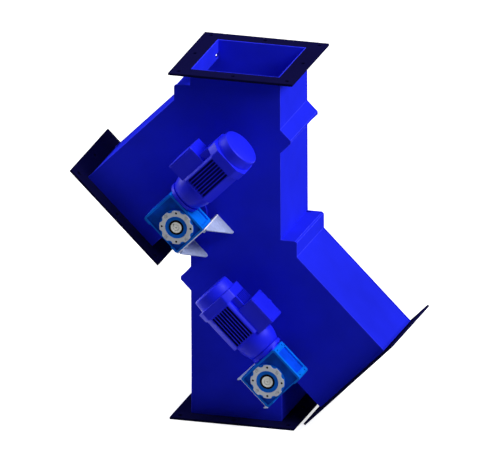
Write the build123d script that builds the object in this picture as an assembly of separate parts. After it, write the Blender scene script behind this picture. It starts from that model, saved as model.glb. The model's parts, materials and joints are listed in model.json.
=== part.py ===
from build123d import *
import math
import os

# Bulk diverter valve: a square duct with two flap stages, one above the other.
# Each stage can send the flow into its own 45 degree side leg.
# Sizes are in millimetres. X runs along the front face, Y away from the viewer, Z up.
# The origin is the centre of the bottom outlet, on the face of its flange.

# Sheet-metal duct
DUCT = 236.0  # width of the square duct over its front and back plates
PLATE = 3.0  # sheet thickness
EDGE = 2.0  # how far the front and back plates stand proud of the side walls
LOWER_PIVOT_Z = 153.0  # bottom flange face to the lower flap shaft
STAGE_PITCH = 386.0  # lower flap shaft to upper flap shaft
NECK = 44.25  # upper shoulder to the inlet flange face
STEP_OUT = 42.0  # shoulder above each side leg, measured sideways
STEP_CHAMFER = 5.0
LEG_LENGTH = 148.0  # crotch to outlet face, along the leg floor
POCKET_OUT = 27.0  # depth of the V pocket that takes the flap's edge
POCKET_FLAT = 8.0
RELIEF = 6.0  # bend relief at the inner corner of each shoulder

# Flanges
FLANGE_REACH = 44.0  # how far each flange stands out past the duct
FLANGE_THICK = 6.0
FLANGE_HOLE_EDGE = 21.0  # flange edge to the rows of bolt holes
FLANGE_HOLE_R = 6.0

# Flap
SHAFT_R = 12.5
BLADE_THICK = 6.0
BLADE_SIDE_GAP = 1.5  # blade edge to front or back plate
TIP_GAP = 2.0  # tip of the upright flap to the shoulder plate
TIP_IN_POCKET = 18.0  # how far the tip reaches past the duct line
SEAT_GAP = 0.5  # edge seal to the pocket's lower face
SEAL_LIP = 14.0  # rubber beyond the blade's steel edge
SEAL_GRIP = 30.0  # rubber clamped on the blade
SEAL_THICK = 6.0
SEAL_DROP = 2.1  # lip below the blade's middle
CLAMP_WIDTH = 22.0
CLAMP_THICK = 4.0
CLAMP_BOLTS = 4
CLAMP_BOLT_R = 3.0
RIB_HEIGHT = 16.0
RIB_THICK = 4.0
RIB_COUNT = 3
RIB_STOP = 106.0  # steel edge of the blade to the ends of its ribs

# Shaft bearings: two-bolt flange housings on welded doubler discs
BUSH_WALL = 4.5
SEAL_WALL = 5.5
BOSS_WALL = 9.0
BEARING_EAR_R = 11.0
BEARING_BOLT_R = 4.0
BEARING_BOLT_GAP = 8.0  # boss to the bolt's axis
BEARING_WAIST = 4.0  # flange round the boss, between the ears
BEARING_FLANGE_THICK = 10.0
BEARING_DEPTH = 25.0
DOUBLER_THICK = 6.0
LUG_RIM = 3.0  # doubler beyond the plate's lug
SADDLE_GAP = 1.5
END_CAP_THICK = 5.0
SHAFT_END_GAP = 2.0
RUN_FIT = 0.05  # radial clearance of every shaft in its bearing
REST_GAP = 0.3  # between other pieces that move past each other
FIT = 0.05  # between pieces of one body that slide together
HEX_WIDTH = 1.65  # across flats of a bolt head, in thread diameters
HEX_HEIGHT = 0.68  # height of a bolt head, in thread diameters

# Worm gearbox
WALL_TO_GEARBOX = 48.0
GEAR_WIDTH = 78.0  # hollow shaft length, along Y
MODULE = 2.0
WHEEL_TEETH = 30
WHEEL_WIDTH = 16.0
WORM_PITCH_R = 10.0
WORM_LENGTH = 44.0
WORM_ROOM = 4.0  # worm's pitch radius to its bore in the housing
WORM_COVER = 31.5  # worm axis to the housing's far face
WORM_END_WALL = 10.0
WORM_END_R = 6.0
END_BEARING = 10.0
INPUT_BEARING = 14.0
CHAMBER_GAP = 3.5  # wheel's pitch circle to the wall of its chamber
HOUSING_MARGIN = 6.5  # cover to the housing's foot face and end faces
HOUSING_CORNER = 6.0
LUG_LENGTH = 22.0  # corner lugs left standing on the free end face
END_RELIEF = 2.5  # that face behind its lugs
POCKET_EDGE = 16.0  # ends of the far face to its pocket
RIM = 5.0  # raised rim round the recessed faces
RECESS = 4.5
HOLLOW_WALL = 5.0
HUB_WALL = 6.0
END_R = 9.0  # turned-down shaft end in the hollow shaft
KEY_WIDTH = 6.0
KEY_LENGTH = 50.0
KEY_STANDS = 2.8  # key above the shaft end
OUTPUT_BEARING = 9.0
OIL_SEAL_WALL = 4.5
COVER_LAP = 10.0  # cover over the housing, round the chamber
COVER_PROUD = 3.5
COVER_SPIGOT = 6.0
COVER_STEP = 4.5  # chamber wall to the cover's bore
COVER_BOLT_OUT = 4.0  # chamber wall to the circle of cover screws
COVER_SCREW_R = 2.55
COVER_SCREW_DEPTH = 12.0
LOBE_COUNT = 8
SCALLOP_R = 11.0
SCALLOP_DEPTH = 4.0
CAP_SUNK = 1.5  # bearing cap behind the end of the hollow shaft
FOOT_EDGE_X = 10.0
FOOT_EDGE_Y = 20.0
FOOT_BOLT_R = 3.0
FOOT_BOLT_DEPTH = 10.0

# Motor
ADAPTER_NECK = 5.0
ADAPTER_NECK_R = 31.0
ADAPTER_PLATE = 8.0
ADAPTER_R = 44.0
ADAPTER_BOLT_R = 2.5
ADAPTER_BOLT_EDGE = 6.5
SHIELD_LENGTH = 49.0
SHIELD_SHOULDER = 9.0  # radius lost towards the adapter
SHIELD_TAPER = 30.0
FRAME_LENGTH = 106.0
FRAME_HALF = 52.0
FRAME_CHAMFER = 21.0
FRAME_WALL = 4.0  # under the fins
FRAME_LEDGE = 6.0  # lip left of the upper chamfers, below the terminal box
PAD_RISE = 4.0  # terminal box pad above the octagon
PAD_SHORT = 7.0  # pad behind the front of the terminal box
FRAME_END_WALL = 8.0
FIN_PITCH = 8.4
FIN_GAP = 5.4
FIN_DEPTH = 11.0
FIN_GROOVES = 7
FIN_MARGIN = 4.0
COWL_LAP = 6.0
COWL_SKIRT = 25.0
COWL_CAP = 30.0
COWL_WALL = 2.8
COWL_GAP = 0.2
CAP_SHOULDER = 2.0
CAP_TAPER = 4.0
CAP_ROUND = 3.0
MOTOR_SHAFT_R = 7.0
SHAFT_ROOM = 2.0
CORE_LEAD = 16.0  # end shield to the cores
CORE_LENGTH = 68.0
STATOR_DEPTH = 10.0
AIR_GAP = 0.6
FAN_LEAD = 6.0  # frame to the fan
FAN_LENGTH = 24.0
FAN_ROOM = 10.0
FAN_HUB_R = 14.0
FAN_DISC = 3.0
FAN_BLADE = 2.5
FAN_BLADES = 6

# Terminal box
BOX_LAP = 9.0  # over the end shield
BOX_LENGTH = 78.0
BOX_FRONT = 43.0  # ahead of the motor axis, along -Y
BOX_BACK = 33.0
BOX_RISE = 28.0  # above the motor frame
BOX_WALL = 3.0
LID_THICK = 6.0
LID_LIP = 1.0
GLAND_R = 8.0
GLAND_THREAD = 6.0
GLAND_NUT = 8.0
GLAND_NUT_R = 11.0  # over the hexagon's corners
GLAND_CAP = 12.0
GLAND_CAP_R = 9.0

# Gearbox bracket
BRACKET_MARGIN = 15.5  # beyond the foot bolts
BRACKET_THICK = 3.0
GUSSET_REACH = 58.0
GUSSET_CLIP = 10.0

ROOT2 = math.sqrt(2)
HALF = DUCT / 2
INNER_HALF = HALF - PLATE
INSET = EDGE + PLATE
STEP_UP = DUCT * ROOT2
UPPER_PIVOT_Z = LOWER_PIVOT_Z + STAGE_PITCH
HEIGHT = UPPER_PIVOT_Z + STEP_UP + NECK
FLANGE_WIDTH = DUCT + 2 * FLANGE_REACH
FLANGE_HOLE_REACH = FLANGE_WIDTH / 2 - FLANGE_HOLE_EDGE
TIP_RADIUS = STEP_UP - INSET - TIP_GAP
TILT = math.asin((DUCT + TIP_IN_POCKET) / TIP_RADIUS)
TILT_SIN = math.sin(TILT)
TILT_COS = math.cos(TILT)
TIP_PAST_DIAGONAL = TIP_RADIUS * (TILT_SIN - TILT_COS) + SEAL_DROP * (TILT_SIN + TILT_COS)
POCKET_LOW = DUCT - TIP_PAST_DIAGONAL - (INSET + SEAT_GAP) * ROOT2
BUSH_R = SHAFT_R + BUSH_WALL
SEAL_RING_R = SHAFT_R + SEAL_WALL
BOSS_R = BUSH_R + BOSS_WALL
BEARING_BOLT_REACH = BOSS_R + BEARING_BOLT_GAP
DOUBLER_R = BEARING_BOLT_REACH + BEARING_EAR_R
LUG_R = DOUBLER_R - LUG_RIM
GEAR_BACK = -HALF - WALL_TO_GEARBOX
GEAR_FRONT = GEAR_BACK - GEAR_WIDTH
GEAR_MID = (GEAR_FRONT + GEAR_BACK) / 2
HOUSING_WIDTH = GEAR_WIDTH - 2 * COVER_PROUD
WHEEL_PITCH_R = MODULE * WHEEL_TEETH / 2
CENTRE_DISTANCE = WHEEL_PITCH_R + WORM_PITCH_R
CHAMBER_R = WHEEL_PITCH_R + CHAMBER_GAP
WORM_BORE_R = WORM_PITCH_R + WORM_ROOM
COVER_R = CHAMBER_R + COVER_LAP
COVER_BORE_R = CHAMBER_R - COVER_STEP
HOUSING_HALF = COVER_R + HOUSING_MARGIN  # output axis to foot face and end faces
HOUSING_TOP = CENTRE_DISTANCE + WORM_COVER
HOLLOW_R = END_R + HOLLOW_WALL
HUB_R = HOLLOW_R + HUB_WALL
KEYWAY_TOP = END_R + KEY_STANDS
OIL_SEAL_R = HOLLOW_R + OIL_SEAL_WALL
ADAPTER_END = HOUSING_HALF + ADAPTER_NECK + ADAPTER_PLATE
SHIELD_END = ADAPTER_END + SHIELD_LENGTH
SHIELD_R = FRAME_HALF - 1
FRAME_END = SHIELD_END + FRAME_LENGTH
FRAME_BORE_R = FRAME_HALF - FIN_DEPTH - FRAME_WALL
COWL_START = FRAME_END - COWL_LAP
COWL_STEP = COWL_START + COWL_SKIRT
COWL_END = COWL_STEP + COWL_CAP
COWL_INNER = FRAME_HALF + COWL_GAP
CAP_BASE_R = COWL_INNER + COWL_WALL - CAP_SHOULDER
CAP_END_R = CAP_BASE_R - CAP_TAPER
CORE_START = SHIELD_END + CORE_LEAD
CORE_END = CORE_START + CORE_LENGTH
CORE_R = FRAME_BORE_R - STATOR_DEPTH
FAN_START = FRAME_END + FAN_LEAD
FAN_END = FAN_START + FAN_LENGTH
FAN_R = FRAME_HALF - FAN_ROOM
BOX_START = SHIELD_END - BOX_LAP
BOX_END = BOX_START + BOX_LENGTH
BOX_TOP = FRAME_HALF + BOX_RISE  # above the motor axis
PAD_TOP = FRAME_HALF + PAD_RISE  # above the motor axis
LEDGE_RISE = FRAME_HALF - FRAME_CHAMFER + FRAME_LEDGE
FOOT_X = HOUSING_HALF - FOOT_EDGE_X
FOOT_Y = HOUSING_WIDTH / 2 - FOOT_EDGE_Y
BRACKET_LENGTH = 2 * HOUSING_HALF
BRACKET_DEPTH = FOOT_Y + BRACKET_MARGIN - GEAR_MID - HALF
STAGES = {"upper": (1, UPPER_PIVOT_Z), "lower": (-1, LOWER_PIVOT_Z)}
OUTWARD = 40.0  # overshoot of cutting shapes
nodes = {}


def slab(sketch, y_front, y_back):
    """Sketch drawn in X and Z, made solid between two Y values."""
    return extrude(Plane.XZ.offset(-y_back) * sketch, y_back - y_front)


def disc(radius, y_front, y_back, x=0.0, z=0.0):
    return slab(Pos(x, z) * Circle(radius), y_front, y_back)


def washer(outer, inner, y_front, y_back):
    return slab(Circle(outer) - Circle(inner), y_front, y_back)


def outline(points):
    return make_face(Polyline(*points, close=True))


def turned(points):
    """Turn a profile of (place along the motor, radius) points round the motor axis."""
    profile = revolve(outline(points), axis=Axis.X)
    return Pos(0, GEAR_MID, CENTRE_DISTANCE) * profile


def tube_piece(outer, inner, start, end):
    return turned([(start, inner), (end, inner), (end, outer), (start, outer)])


def in_stage(shape, stage):
    """Move a shape from the frame of a left-hand stage, origin on its pivot, into place."""
    side, pivot_z = STAGES[stage]
    if side < 0:
        shape = mirror(shape, about=Plane.YZ)
    return Pos(-side * HALF, 0, pivot_z) * shape


def in_drive(shape):
    """Turn a drive piece: its X runs up the motor and its Z from output axis to worm."""
    return Rot(0, -45, 0) * shape


def add(name, shape):
    nodes[name] = shape


def both_stages(name, shape):
    """One node that holds the same piece of both stages."""
    add(name, Compound([s for stage in STAGES for s in in_stage(shape, stage).solids()]))


def hex_bolt(shank_r, length):
    """Bolt along -Z, the underside of its head at Z 0."""
    corner_r = 2 * shank_r * HEX_WIDTH / math.sqrt(3)
    head = extrude(RegularPolygon(corner_r, 6), 2 * shank_r * HEX_HEIGHT)
    return head + extrude(Circle(shank_r), -length)


# Casing outline


def stage_point(stage, x, z):
    side, pivot_z = STAGES[stage]
    return (side * (x - HALF), z + pivot_z)


def leg_point(distance, rise):
    """Point at a distance down the leg and a height square to its floor."""
    return (-(distance + rise) / ROOT2, (rise - distance) / ROOT2)


def leg_outline(stage, extra):
    """Shoulder and leg of one stage, from the duct line to the crotch."""
    points = [
        (0, STEP_UP),
        (STEP_CHAMFER - STEP_OUT, STEP_UP),
        (-STEP_OUT, STEP_UP - STEP_CHAMFER),
        (-STEP_OUT, STEP_UP - STEP_OUT),
        leg_point(LEG_LENGTH + extra, DUCT),
        leg_point(LEG_LENGTH + extra, 0),
        (0, 0),
    ]
    return [stage_point(stage, x, z) for x, z in points]


def pocket_outline(stage):
    """V pocket in the wall across from a stage's pivot, from its top to its bottom."""
    far = DUCT + POCKET_OUT
    points = [
        (DUCT, POCKET_LOW + 2 * POCKET_OUT + POCKET_FLAT),
        (far, POCKET_LOW + POCKET_OUT + POCKET_FLAT),
        (far, POCKET_LOW + POCKET_OUT),
        (DUCT, POCKET_LOW),
    ]
    return [stage_point(stage, x, z) for x, z in points]


def casing_face(extra=0.0):
    points = [(-HALF, HEIGHT + extra)]
    points += leg_outline("upper", extra)
    points += pocket_outline("lower")
    points += [(-HALF, -extra), (HALF, -extra)]
    points += reversed(leg_outline("lower", extra))
    points += reversed(pocket_outline("upper"))
    points += [(HALF, HEIGHT + extra)]
    return outline(points)


def pivots(radius):
    """A circle on each pivot."""
    circles = [Pos(*stage_point(stage, 0, 0)) * Circle(radius) for stage in STAGES]
    return circles[0] + circles[1]


def flange():
    """Square ring on the XY plane; the duct's plates pass through along its Y sides."""
    sketch = Rectangle(FLANGE_WIDTH, FLANGE_WIDTH)
    sketch -= Rectangle(DUCT - 2 * EDGE, DUCT)
    rows = (-FLANGE_HOLE_REACH, 0, FLANGE_HOLE_REACH)
    for x in rows:
        for y in rows:
            if x or y:
                sketch -= Pos(x, y) * Circle(FLANGE_HOLE_R)
    return extrude(sketch, FLANGE_THICK)


def leg_flange_plane():
    x, z = leg_point(LEG_LENGTH - FLANGE_THICK, HALF)
    return Plane(origin=(x, 0, z), x_dir=(-1, 0, 1), z_dir=(-1, 0, -1))


def make_casing():
    flanges = {
        "inlet_flange": Pos(0, 0, HEIGHT - FLANGE_THICK) * flange(),
        "left_outlet_flange": in_stage(leg_flange_plane() * flange(), "upper"),
        "right_outlet_flange": in_stage(leg_flange_plane() * flange(), "lower"),
        "bottom_outlet_flange": flange(),
    }
    for name, solid in flanges.items():
        add(name, solid)
    plate_face = casing_face() + pivots(LUG_R) - pivots(SHAFT_R + SADDLE_GAP)
    for name, y_front in (("front_plate", -HALF), ("back_plate", HALF - PLATE)):
        plate = slab(plate_face, y_front, y_front + PLATE)
        for solid in flanges.values():
            plate -= solid
        add(name, plate)
    saddle_r = SHAFT_R + SADDLE_GAP + PLATE
    long_face = casing_face(OUTWARD)
    strip = offset(long_face, -EDGE, kind=Kind.INTERSECTION)
    strip -= offset(long_face, -INSET, kind=Kind.INTERSECTION)
    strip = (strip & casing_face()) - pivots(saddle_r)
    split_z = LOWER_PIVOT_Z + STEP_UP - EDGE
    upper_half = Pos(HALF, split_z + HEIGHT / 2) * Rectangle(DUCT, HEIGHT)
    probes = {
        "left_leg_cover": (strip, stage_point("upper", -STEP_OUT, STEP_UP - STEP_OUT)),
        "left_leg_floor": (strip, stage_point("upper", *leg_point(LEG_LENGTH / 2, 0))),
        "left_wall": (strip, (-HALF, LOWER_PIVOT_Z)),
        "bottom_right_wall": (strip, (HALF, LOWER_PIVOT_Z / 2)),
        "right_leg_floor": (strip, stage_point("lower", *leg_point(LEG_LENGTH / 2, 0))),
        "right_leg_cover": (
            strip - upper_half,
            stage_point("lower", -STEP_OUT, STEP_UP - STEP_OUT),
        ),
        "right_wall": (strip & upper_half, (HALF, HEIGHT - HALF)),
    }
    for name, (faces, (x, z)) in probes.items():
        probe = Vertex(x, z, 0)
        face = min(faces.faces(), key=lambda f: f.distance_to(probe))
        wall = slab(face, -INNER_HALF, INNER_HALF)
        for stage, cover in (("upper", "left_leg_cover"), ("lower", "right_leg_cover")):
            if name == cover:
                cut = Pos(-INSET / 2, 0, STEP_UP - INSET / 2)
                notch = Box(2 * RELIEF, RELIEF, 2 * RELIEF)
                for side in (-1, 1):
                    y = side * (INNER_HALF - RELIEF / 2)
                    wall -= in_stage(cut * Pos(0, y, 0) * notch, stage)
        add(name, wall)
    both_stages("crotch_saddles", crotch_saddle(saddle_r))


def crotch_saddle(radius):
    """Trough under the flap shaft, from the duct wall round to the leg floor."""
    middle = math.radians(-22.5)  # halfway between the wall below and the floor of the leg
    overlap = math.radians(4)
    span = math.radians(22.5) + math.asin(INSET / radius) + overlap
    reach = 2 * radius
    corners = [(reach * math.sin(a), -reach * math.cos(a)) for a in (middle - span, middle, middle + span)]
    ring = Circle(radius) - Circle(radius - PLATE)
    return slab(ring & outline([(0, 0)] + corners), -INNER_HALF, INNER_HALF)


# Flap and its shaft bearings


def flap_turn(shape):
    """Lean an upright flap over to its pocket."""
    return Rot(0, math.degrees(TILT), 0) * shape


def make_flap(stage):
    """Pieces of one flap, drawn upright: X is across the blade, Z is up its length."""
    width = 2 * (INNER_HALF - BLADE_SIDE_GAP)
    steel_end = TIP_RADIUS - SEAL_LIP
    half = BLADE_THICK / 2
    low = SHAFT_R - half
    blade = Pos(0, 0, (steel_end + low) / 2) * Box(BLADE_THICK, width, steel_end - low)
    rib_end = steel_end - RIB_STOP
    rib_top = half + RIB_HEIGHT
    rib_profile = outline([(0, low), (rib_top, low), (rib_top, SHAFT_R * 2), (half, rib_end), (0, rib_end)])
    for i in range(RIB_COUNT):
        y = (i - (RIB_COUNT - 1) / 2) * width / (RIB_COUNT + 1)
        blade += slab(rib_profile, y - RIB_THICK / 2, y + RIB_THICK / 2)
    blade -= disc(SHAFT_R, -HALF, HALF)
    clamp_z = steel_end - CLAMP_WIDTH / 2
    bolt_spacing = width / CLAMP_BOLTS
    bolt_places = [(i - (CLAMP_BOLTS - 1) / 2) * bolt_spacing for i in range(CLAMP_BOLTS)]
    bolt_turn = Rot(0, -90, 0)
    hole_shape = bolt_turn * Cylinder(CLAMP_BOLT_R + FIT, 2 * OUTWARD)
    holes = [Pos(0, y, clamp_z) * hole_shape for y in bolt_places]
    for hole in holes:
        blade -= hole
    add(f"{stage}_flap_blade", in_stage(flap_turn(blade), stage))

    seal = slab(
        outline(
            [
                (-half, steel_end - SEAL_GRIP),
                (-half, steel_end),
                (SEAL_DROP, steel_end),
                (SEAL_DROP, TIP_RADIUS),
                (-half - SEAL_THICK, TIP_RADIUS),
                (-half - SEAL_THICK, steel_end - SEAL_GRIP),
            ]
        ),
        -width / 2,
        width / 2,
    )
    bar_face = -half - SEAL_THICK - CLAMP_THICK
    bar = Pos(bar_face + CLAMP_THICK / 2, 0, clamp_z) * Box(CLAMP_THICK, width, CLAMP_WIDTH)
    for hole in holes:
        seal -= hole
        bar -= hole
    add(f"{stage}_edge_seal", in_stage(flap_turn(seal), stage))
    bolt = bolt_turn * hex_bolt(CLAMP_BOLT_R, CLAMP_THICK + SEAL_THICK + BLADE_THICK)
    bolts = [Pos(bar_face, y, clamp_z) * bolt for y in bolt_places]
    clamp = Compound([s for piece in [bar] + bolts for s in piece.solids()])
    add(f"{stage}_seal_clamp", in_stage(flap_turn(clamp), stage))

    bearing_face = HALF + DOUBLER_THICK + BEARING_DEPTH
    shaft = disc(SHAFT_R, -bearing_face, bearing_face - SHAFT_END_GAP)
    shaft += disc(END_R, GEAR_FRONT + CAP_SUNK, -bearing_face)
    key_seat = Pos(0, GEAR_MID, 0) * Rot(0, -45, 0) * Pos(0, 0, END_R)
    shaft -= key_seat * Box(KEY_WIDTH, KEY_LENGTH, KEY_WIDTH)
    add(f"{stage}_flap_shaft", in_stage(shaft, stage))


def bearing_flange():
    """Outline of a two-bolt flange: a waist round the boss, drawn out to an ear at each bolt."""
    rounds = Circle(BOSS_R + BEARING_WAIST).edges()
    for z in (-BEARING_BOLT_REACH, BEARING_BOLT_REACH):
        rounds += (Pos(0, z) * Circle(BEARING_EAR_R)).edges()
    return make_hull(rounds)


def make_bearings():
    outer_face = HALF + DOUBLER_THICK
    flange_face = outer_face + BEARING_FLANGE_THICK
    end_face = outer_face + BEARING_DEPTH
    doubler = washer(DOUBLER_R, SEAL_RING_R, HALF, outer_face)
    housing = slab(bearing_flange(), outer_face, flange_face) + disc(BOSS_R, flange_face, end_face)
    housing -= disc(BUSH_R, outer_face, end_face)
    bolt = Rot(-90, 0, 0) * hex_bolt(BEARING_BOLT_R, BEARING_FLANGE_THICK + DOUBLER_THICK - REST_GAP)
    bolts = []
    for z in (-BEARING_BOLT_REACH, BEARING_BOLT_REACH):
        doubler -= disc(BEARING_BOLT_R + FIT, HALF, outer_face, 0, z)
        housing -= disc(BEARING_BOLT_R + FIT, outer_face, flange_face, 0, z)
        bolts.append(Pos(0, flange_face, z) * bolt)
    seal = washer(SEAL_RING_R, SHAFT_R + REST_GAP, HALF, outer_face)
    bush = washer(BUSH_R, SHAFT_R + RUN_FIT, outer_face, end_face)
    cap = disc(BOSS_R, end_face, end_face + END_CAP_THICK)

    def front_and_back(shapes):
        back = [s for shape in shapes for s in shape.solids()]
        front = [mirror(s, about=Plane.XZ) for s in back]
        return Compound(back + front)

    both_stages("pivot_doublers", front_and_back([doubler]))
    both_stages("bearing_housings", front_and_back([housing]))
    both_stages("bearing_bushes", front_and_back([bush]))
    both_stages("shaft_seals", front_and_back([seal]))
    both_stages("bearing_bolts", front_and_back(bolts))
    both_stages("bearing_end_caps", cap)


# Worm gearbox


def cover_places():
    """Four places on the cover's circle of screws, as X and Z."""
    reach = CHAMBER_R + COVER_BOLT_OUT
    return [(reach, 0), (0, reach), (-reach, 0), (0, -reach)]


def foot_places():
    """Bolt places on the gearbox's foot face, as X and Y."""
    return [(x, GEAR_MID + y) for x in (-FOOT_X, FOOT_X) for y in (-FOOT_Y, FOOT_Y)]


def front_and_rear(shape):
    """A piece on the front of the gearbox and its twin on the rear."""
    middle = Plane.XZ.offset(-GEAR_MID)
    return Compound(shape.solids() + [mirror(s, about=middle) for s in shape.solids()])


def gearbox_housing():
    front = GEAR_MID - HOUSING_WIDTH / 2
    back = GEAR_MID + HOUSING_WIDTH / 2
    tall = HOUSING_HALF + HOUSING_TOP
    middle = (HOUSING_TOP - HOUSING_HALF) / 2
    body = slab(Pos(0, middle) * RectangleRounded(2 * HOUSING_HALF, tall, HOUSING_CORNER), front, back)
    panel = Pos(0, middle) * RectangleRounded(2 * (HOUSING_HALF - RIM), tall - 2 * RIM, HOUSING_CORNER / 2)
    panel -= Circle(COVER_R + 1)
    body -= slab(panel, front, front + RECESS)
    body -= slab(panel, back - RECESS, back)
    pocket_x = 2 * (HOUSING_HALF - POCKET_EDGE)
    pocket_y = HOUSING_WIDTH - 4 * RIM
    relief_z = tall - 2 * LUG_LENGTH
    body -= Pos(0, GEAR_MID, HOUSING_TOP) * Box(pocket_x, pocket_y, 2 * RECESS)
    end_face = Pos(-HOUSING_HALF, GEAR_MID, middle)
    body -= end_face * Box(2 * END_RELIEF, HOUSING_WIDTH, relief_z)
    body -= end_face * Box(2 * (END_RELIEF + RECESS), pocket_y, relief_z - 2 * RIM)
    for x, y in foot_places():
        body -= Pos(x, y, -HOUSING_HALF) * Cylinder(FOOT_BOLT_R + FIT, 2 * FOOT_BOLT_DEPTH)
    body -= disc(CHAMBER_R, front, back)
    body -= tube_solid(WORM_BORE_R, WORM_END_WALL - HOUSING_HALF, HOUSING_HALF)
    depth = COVER_SCREW_DEPTH - COVER_PROUD
    for x, z in cover_places():
        body -= disc(COVER_SCREW_R + FIT, front, front + depth, x, z)
        body -= disc(COVER_SCREW_R + FIT, back - depth, back, x, z)
    return body


def tube_solid(radius, start, end):
    return turned([(start, 0), (end, 0), (end, radius), (start, radius)])


def output_cover():
    """Scalloped ring that closes one side of the wheel chamber, with a spigot into it."""
    sketch = Circle(COVER_R)
    reach = COVER_R - SCALLOP_DEPTH + SCALLOP_R
    for i in range(LOBE_COUNT):
        angle = 2 * math.pi / LOBE_COUNT * (i + 0.5)
        sketch -= Pos(reach * math.cos(angle), reach * math.sin(angle)) * Circle(SCALLOP_R)
    for x, z in cover_places():
        sketch -= Pos(x, z) * Circle(COVER_SCREW_R + FIT)
    seat = GEAR_FRONT + COVER_PROUD
    cover = slab(sketch, GEAR_FRONT, seat) + disc(CHAMBER_R - FIT, seat, seat + COVER_SPIGOT)
    return cover - disc(COVER_BORE_R, GEAR_FRONT, seat + COVER_SPIGOT)


def make_gearbox(stage):
    add(f"{stage}_gearbox_housing", in_stage(in_drive(gearbox_housing()), stage))
    wheel_front = GEAR_MID - WHEEL_WIDTH / 2
    wheel_back = GEAR_MID + WHEEL_WIDTH / 2
    hollow = disc(HOLLOW_R, GEAR_FRONT, GEAR_BACK) + disc(HUB_R, wheel_front, wheel_back)
    hollow -= disc(END_R + FIT, GEAR_FRONT, GEAR_BACK)
    hollow -= Pos(0, GEAR_MID, KEYWAY_TOP / 2) * Box(KEY_WIDTH + 2 * FIT, GEAR_WIDTH, KEYWAY_TOP)
    add(f"{stage}_hollow_shaft", in_stage(in_drive(hollow), stage))
    key_base = END_R - KEY_WIDTH / 2
    key_top = KEYWAY_TOP - FIT
    key = Pos(0, GEAR_MID, (key_base + key_top) / 2) * Box(KEY_WIDTH, KEY_LENGTH, key_top - key_base)
    add(f"{stage}_shaft_key", in_stage(in_drive(key), stage))
    wheel = washer(WHEEL_PITCH_R - REST_GAP / 2, HUB_R, wheel_front, wheel_back)
    add(f"{stage}_worm_wheel", in_stage(in_drive(wheel), stage))
    half_worm = WORM_LENGTH / 2
    worm_r = WORM_PITCH_R - REST_GAP / 2
    free_end = WORM_END_WALL - HOUSING_HALF + 1
    fan_end = FAN_END - SHAFT_END_GAP
    worm = turned(
        [
            (free_end, 0),
            (fan_end, 0),
            (fan_end, MOTOR_SHAFT_R),
            (half_worm, MOTOR_SHAFT_R),
            (half_worm, worm_r),
            (-half_worm, worm_r),
            (-half_worm, WORM_END_R),
            (free_end, WORM_END_R),
        ]
    )
    add(f"{stage}_worm_shaft", in_stage(in_drive(worm), stage))


def make_gearbox_pairs():
    """Gearbox pieces that are alike in both stages, one node for each kind."""
    cap_back = GEAR_FRONT + COVER_PROUD + COVER_SPIGOT
    both_stages("output_covers", in_drive(front_and_rear(output_cover())))
    cap = washer(COVER_BORE_R, OIL_SEAL_R, GEAR_FRONT + CAP_SUNK, cap_back)
    both_stages("bearing_caps", in_drive(front_and_rear(cap)))
    oil_seal = washer(OIL_SEAL_R, HOLLOW_R + REST_GAP, GEAR_FRONT + CAP_SUNK / 2, cap_back)
    both_stages("oil_seals", in_drive(front_and_rear(oil_seal)))
    bearing = washer(CHAMBER_R - FIT, HOLLOW_R + RUN_FIT, cap_back, cap_back + OUTPUT_BEARING)
    both_stages("output_bearings", in_drive(front_and_rear(bearing)))
    screw = Rot(90, 0, 0) * hex_bolt(COVER_SCREW_R, COVER_SCREW_DEPTH)
    screws = [Pos(x, GEAR_FRONT, z) * screw for x, z in cover_places()]
    both_stages("cover_screws", in_drive(front_and_rear(Compound(screws))))
    free_start = WORM_END_WALL - HOUSING_HALF + 1
    end_bearing = tube_piece(WORM_BORE_R, WORM_END_R + RUN_FIT, free_start, free_start + END_BEARING)
    input_start = HOUSING_HALF - INPUT_BEARING
    input_bearing = tube_piece(WORM_BORE_R, MOTOR_SHAFT_R + RUN_FIT, input_start, HOUSING_HALF)
    both_stages("worm_bearings", in_drive(Compound([*end_bearing.solids(), *input_bearing.solids()])))


# Motor


def octagon(half, chamfer):
    """Square with cut corners, drawn across the motor axis: X is Y of the part, Y is its Z."""
    flat = half - chamfer
    points = [(flat, half), (half, flat), (half, -flat), (flat, -half)]
    points += [(-x, y) for x, y in reversed(points)]
    return outline(points)


def adapter_places():
    reach = (ADAPTER_R - ADAPTER_BOLT_EDGE) / ROOT2
    return [(y, z) for y in (-reach, reach) for z in (-reach, reach)]


def across_motor(sketch, start, end):
    plane = Plane(origin=(start, GEAR_MID, CENTRE_DISTANCE), x_dir=(0, 1, 0), z_dir=(1, 0, 0))
    return extrude(plane * sketch, end - start)


def stepped_octagon():
    """Frame section: its upper chamfers are cut back to a ledge beside the box's raised pad."""
    flat = FRAME_HALF - FRAME_CHAMFER
    lip = FRAME_HALF - FRAME_LEDGE
    pad_front = PAD_SHORT - BOX_FRONT
    pad_back = BOX_BACK - BOX_WALL
    points = [(-flat, -FRAME_HALF), (-FRAME_HALF, -flat), (-FRAME_HALF, flat), (-lip, LEDGE_RISE)]
    points += [(pad_front, LEDGE_RISE), (pad_front, PAD_TOP), (pad_back, PAD_TOP), (pad_back, LEDGE_RISE)]
    points += [(lip, LEDGE_RISE), (FRAME_HALF, flat), (FRAME_HALF, -flat), (flat, -FRAME_HALF)]
    return outline(points)


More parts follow.
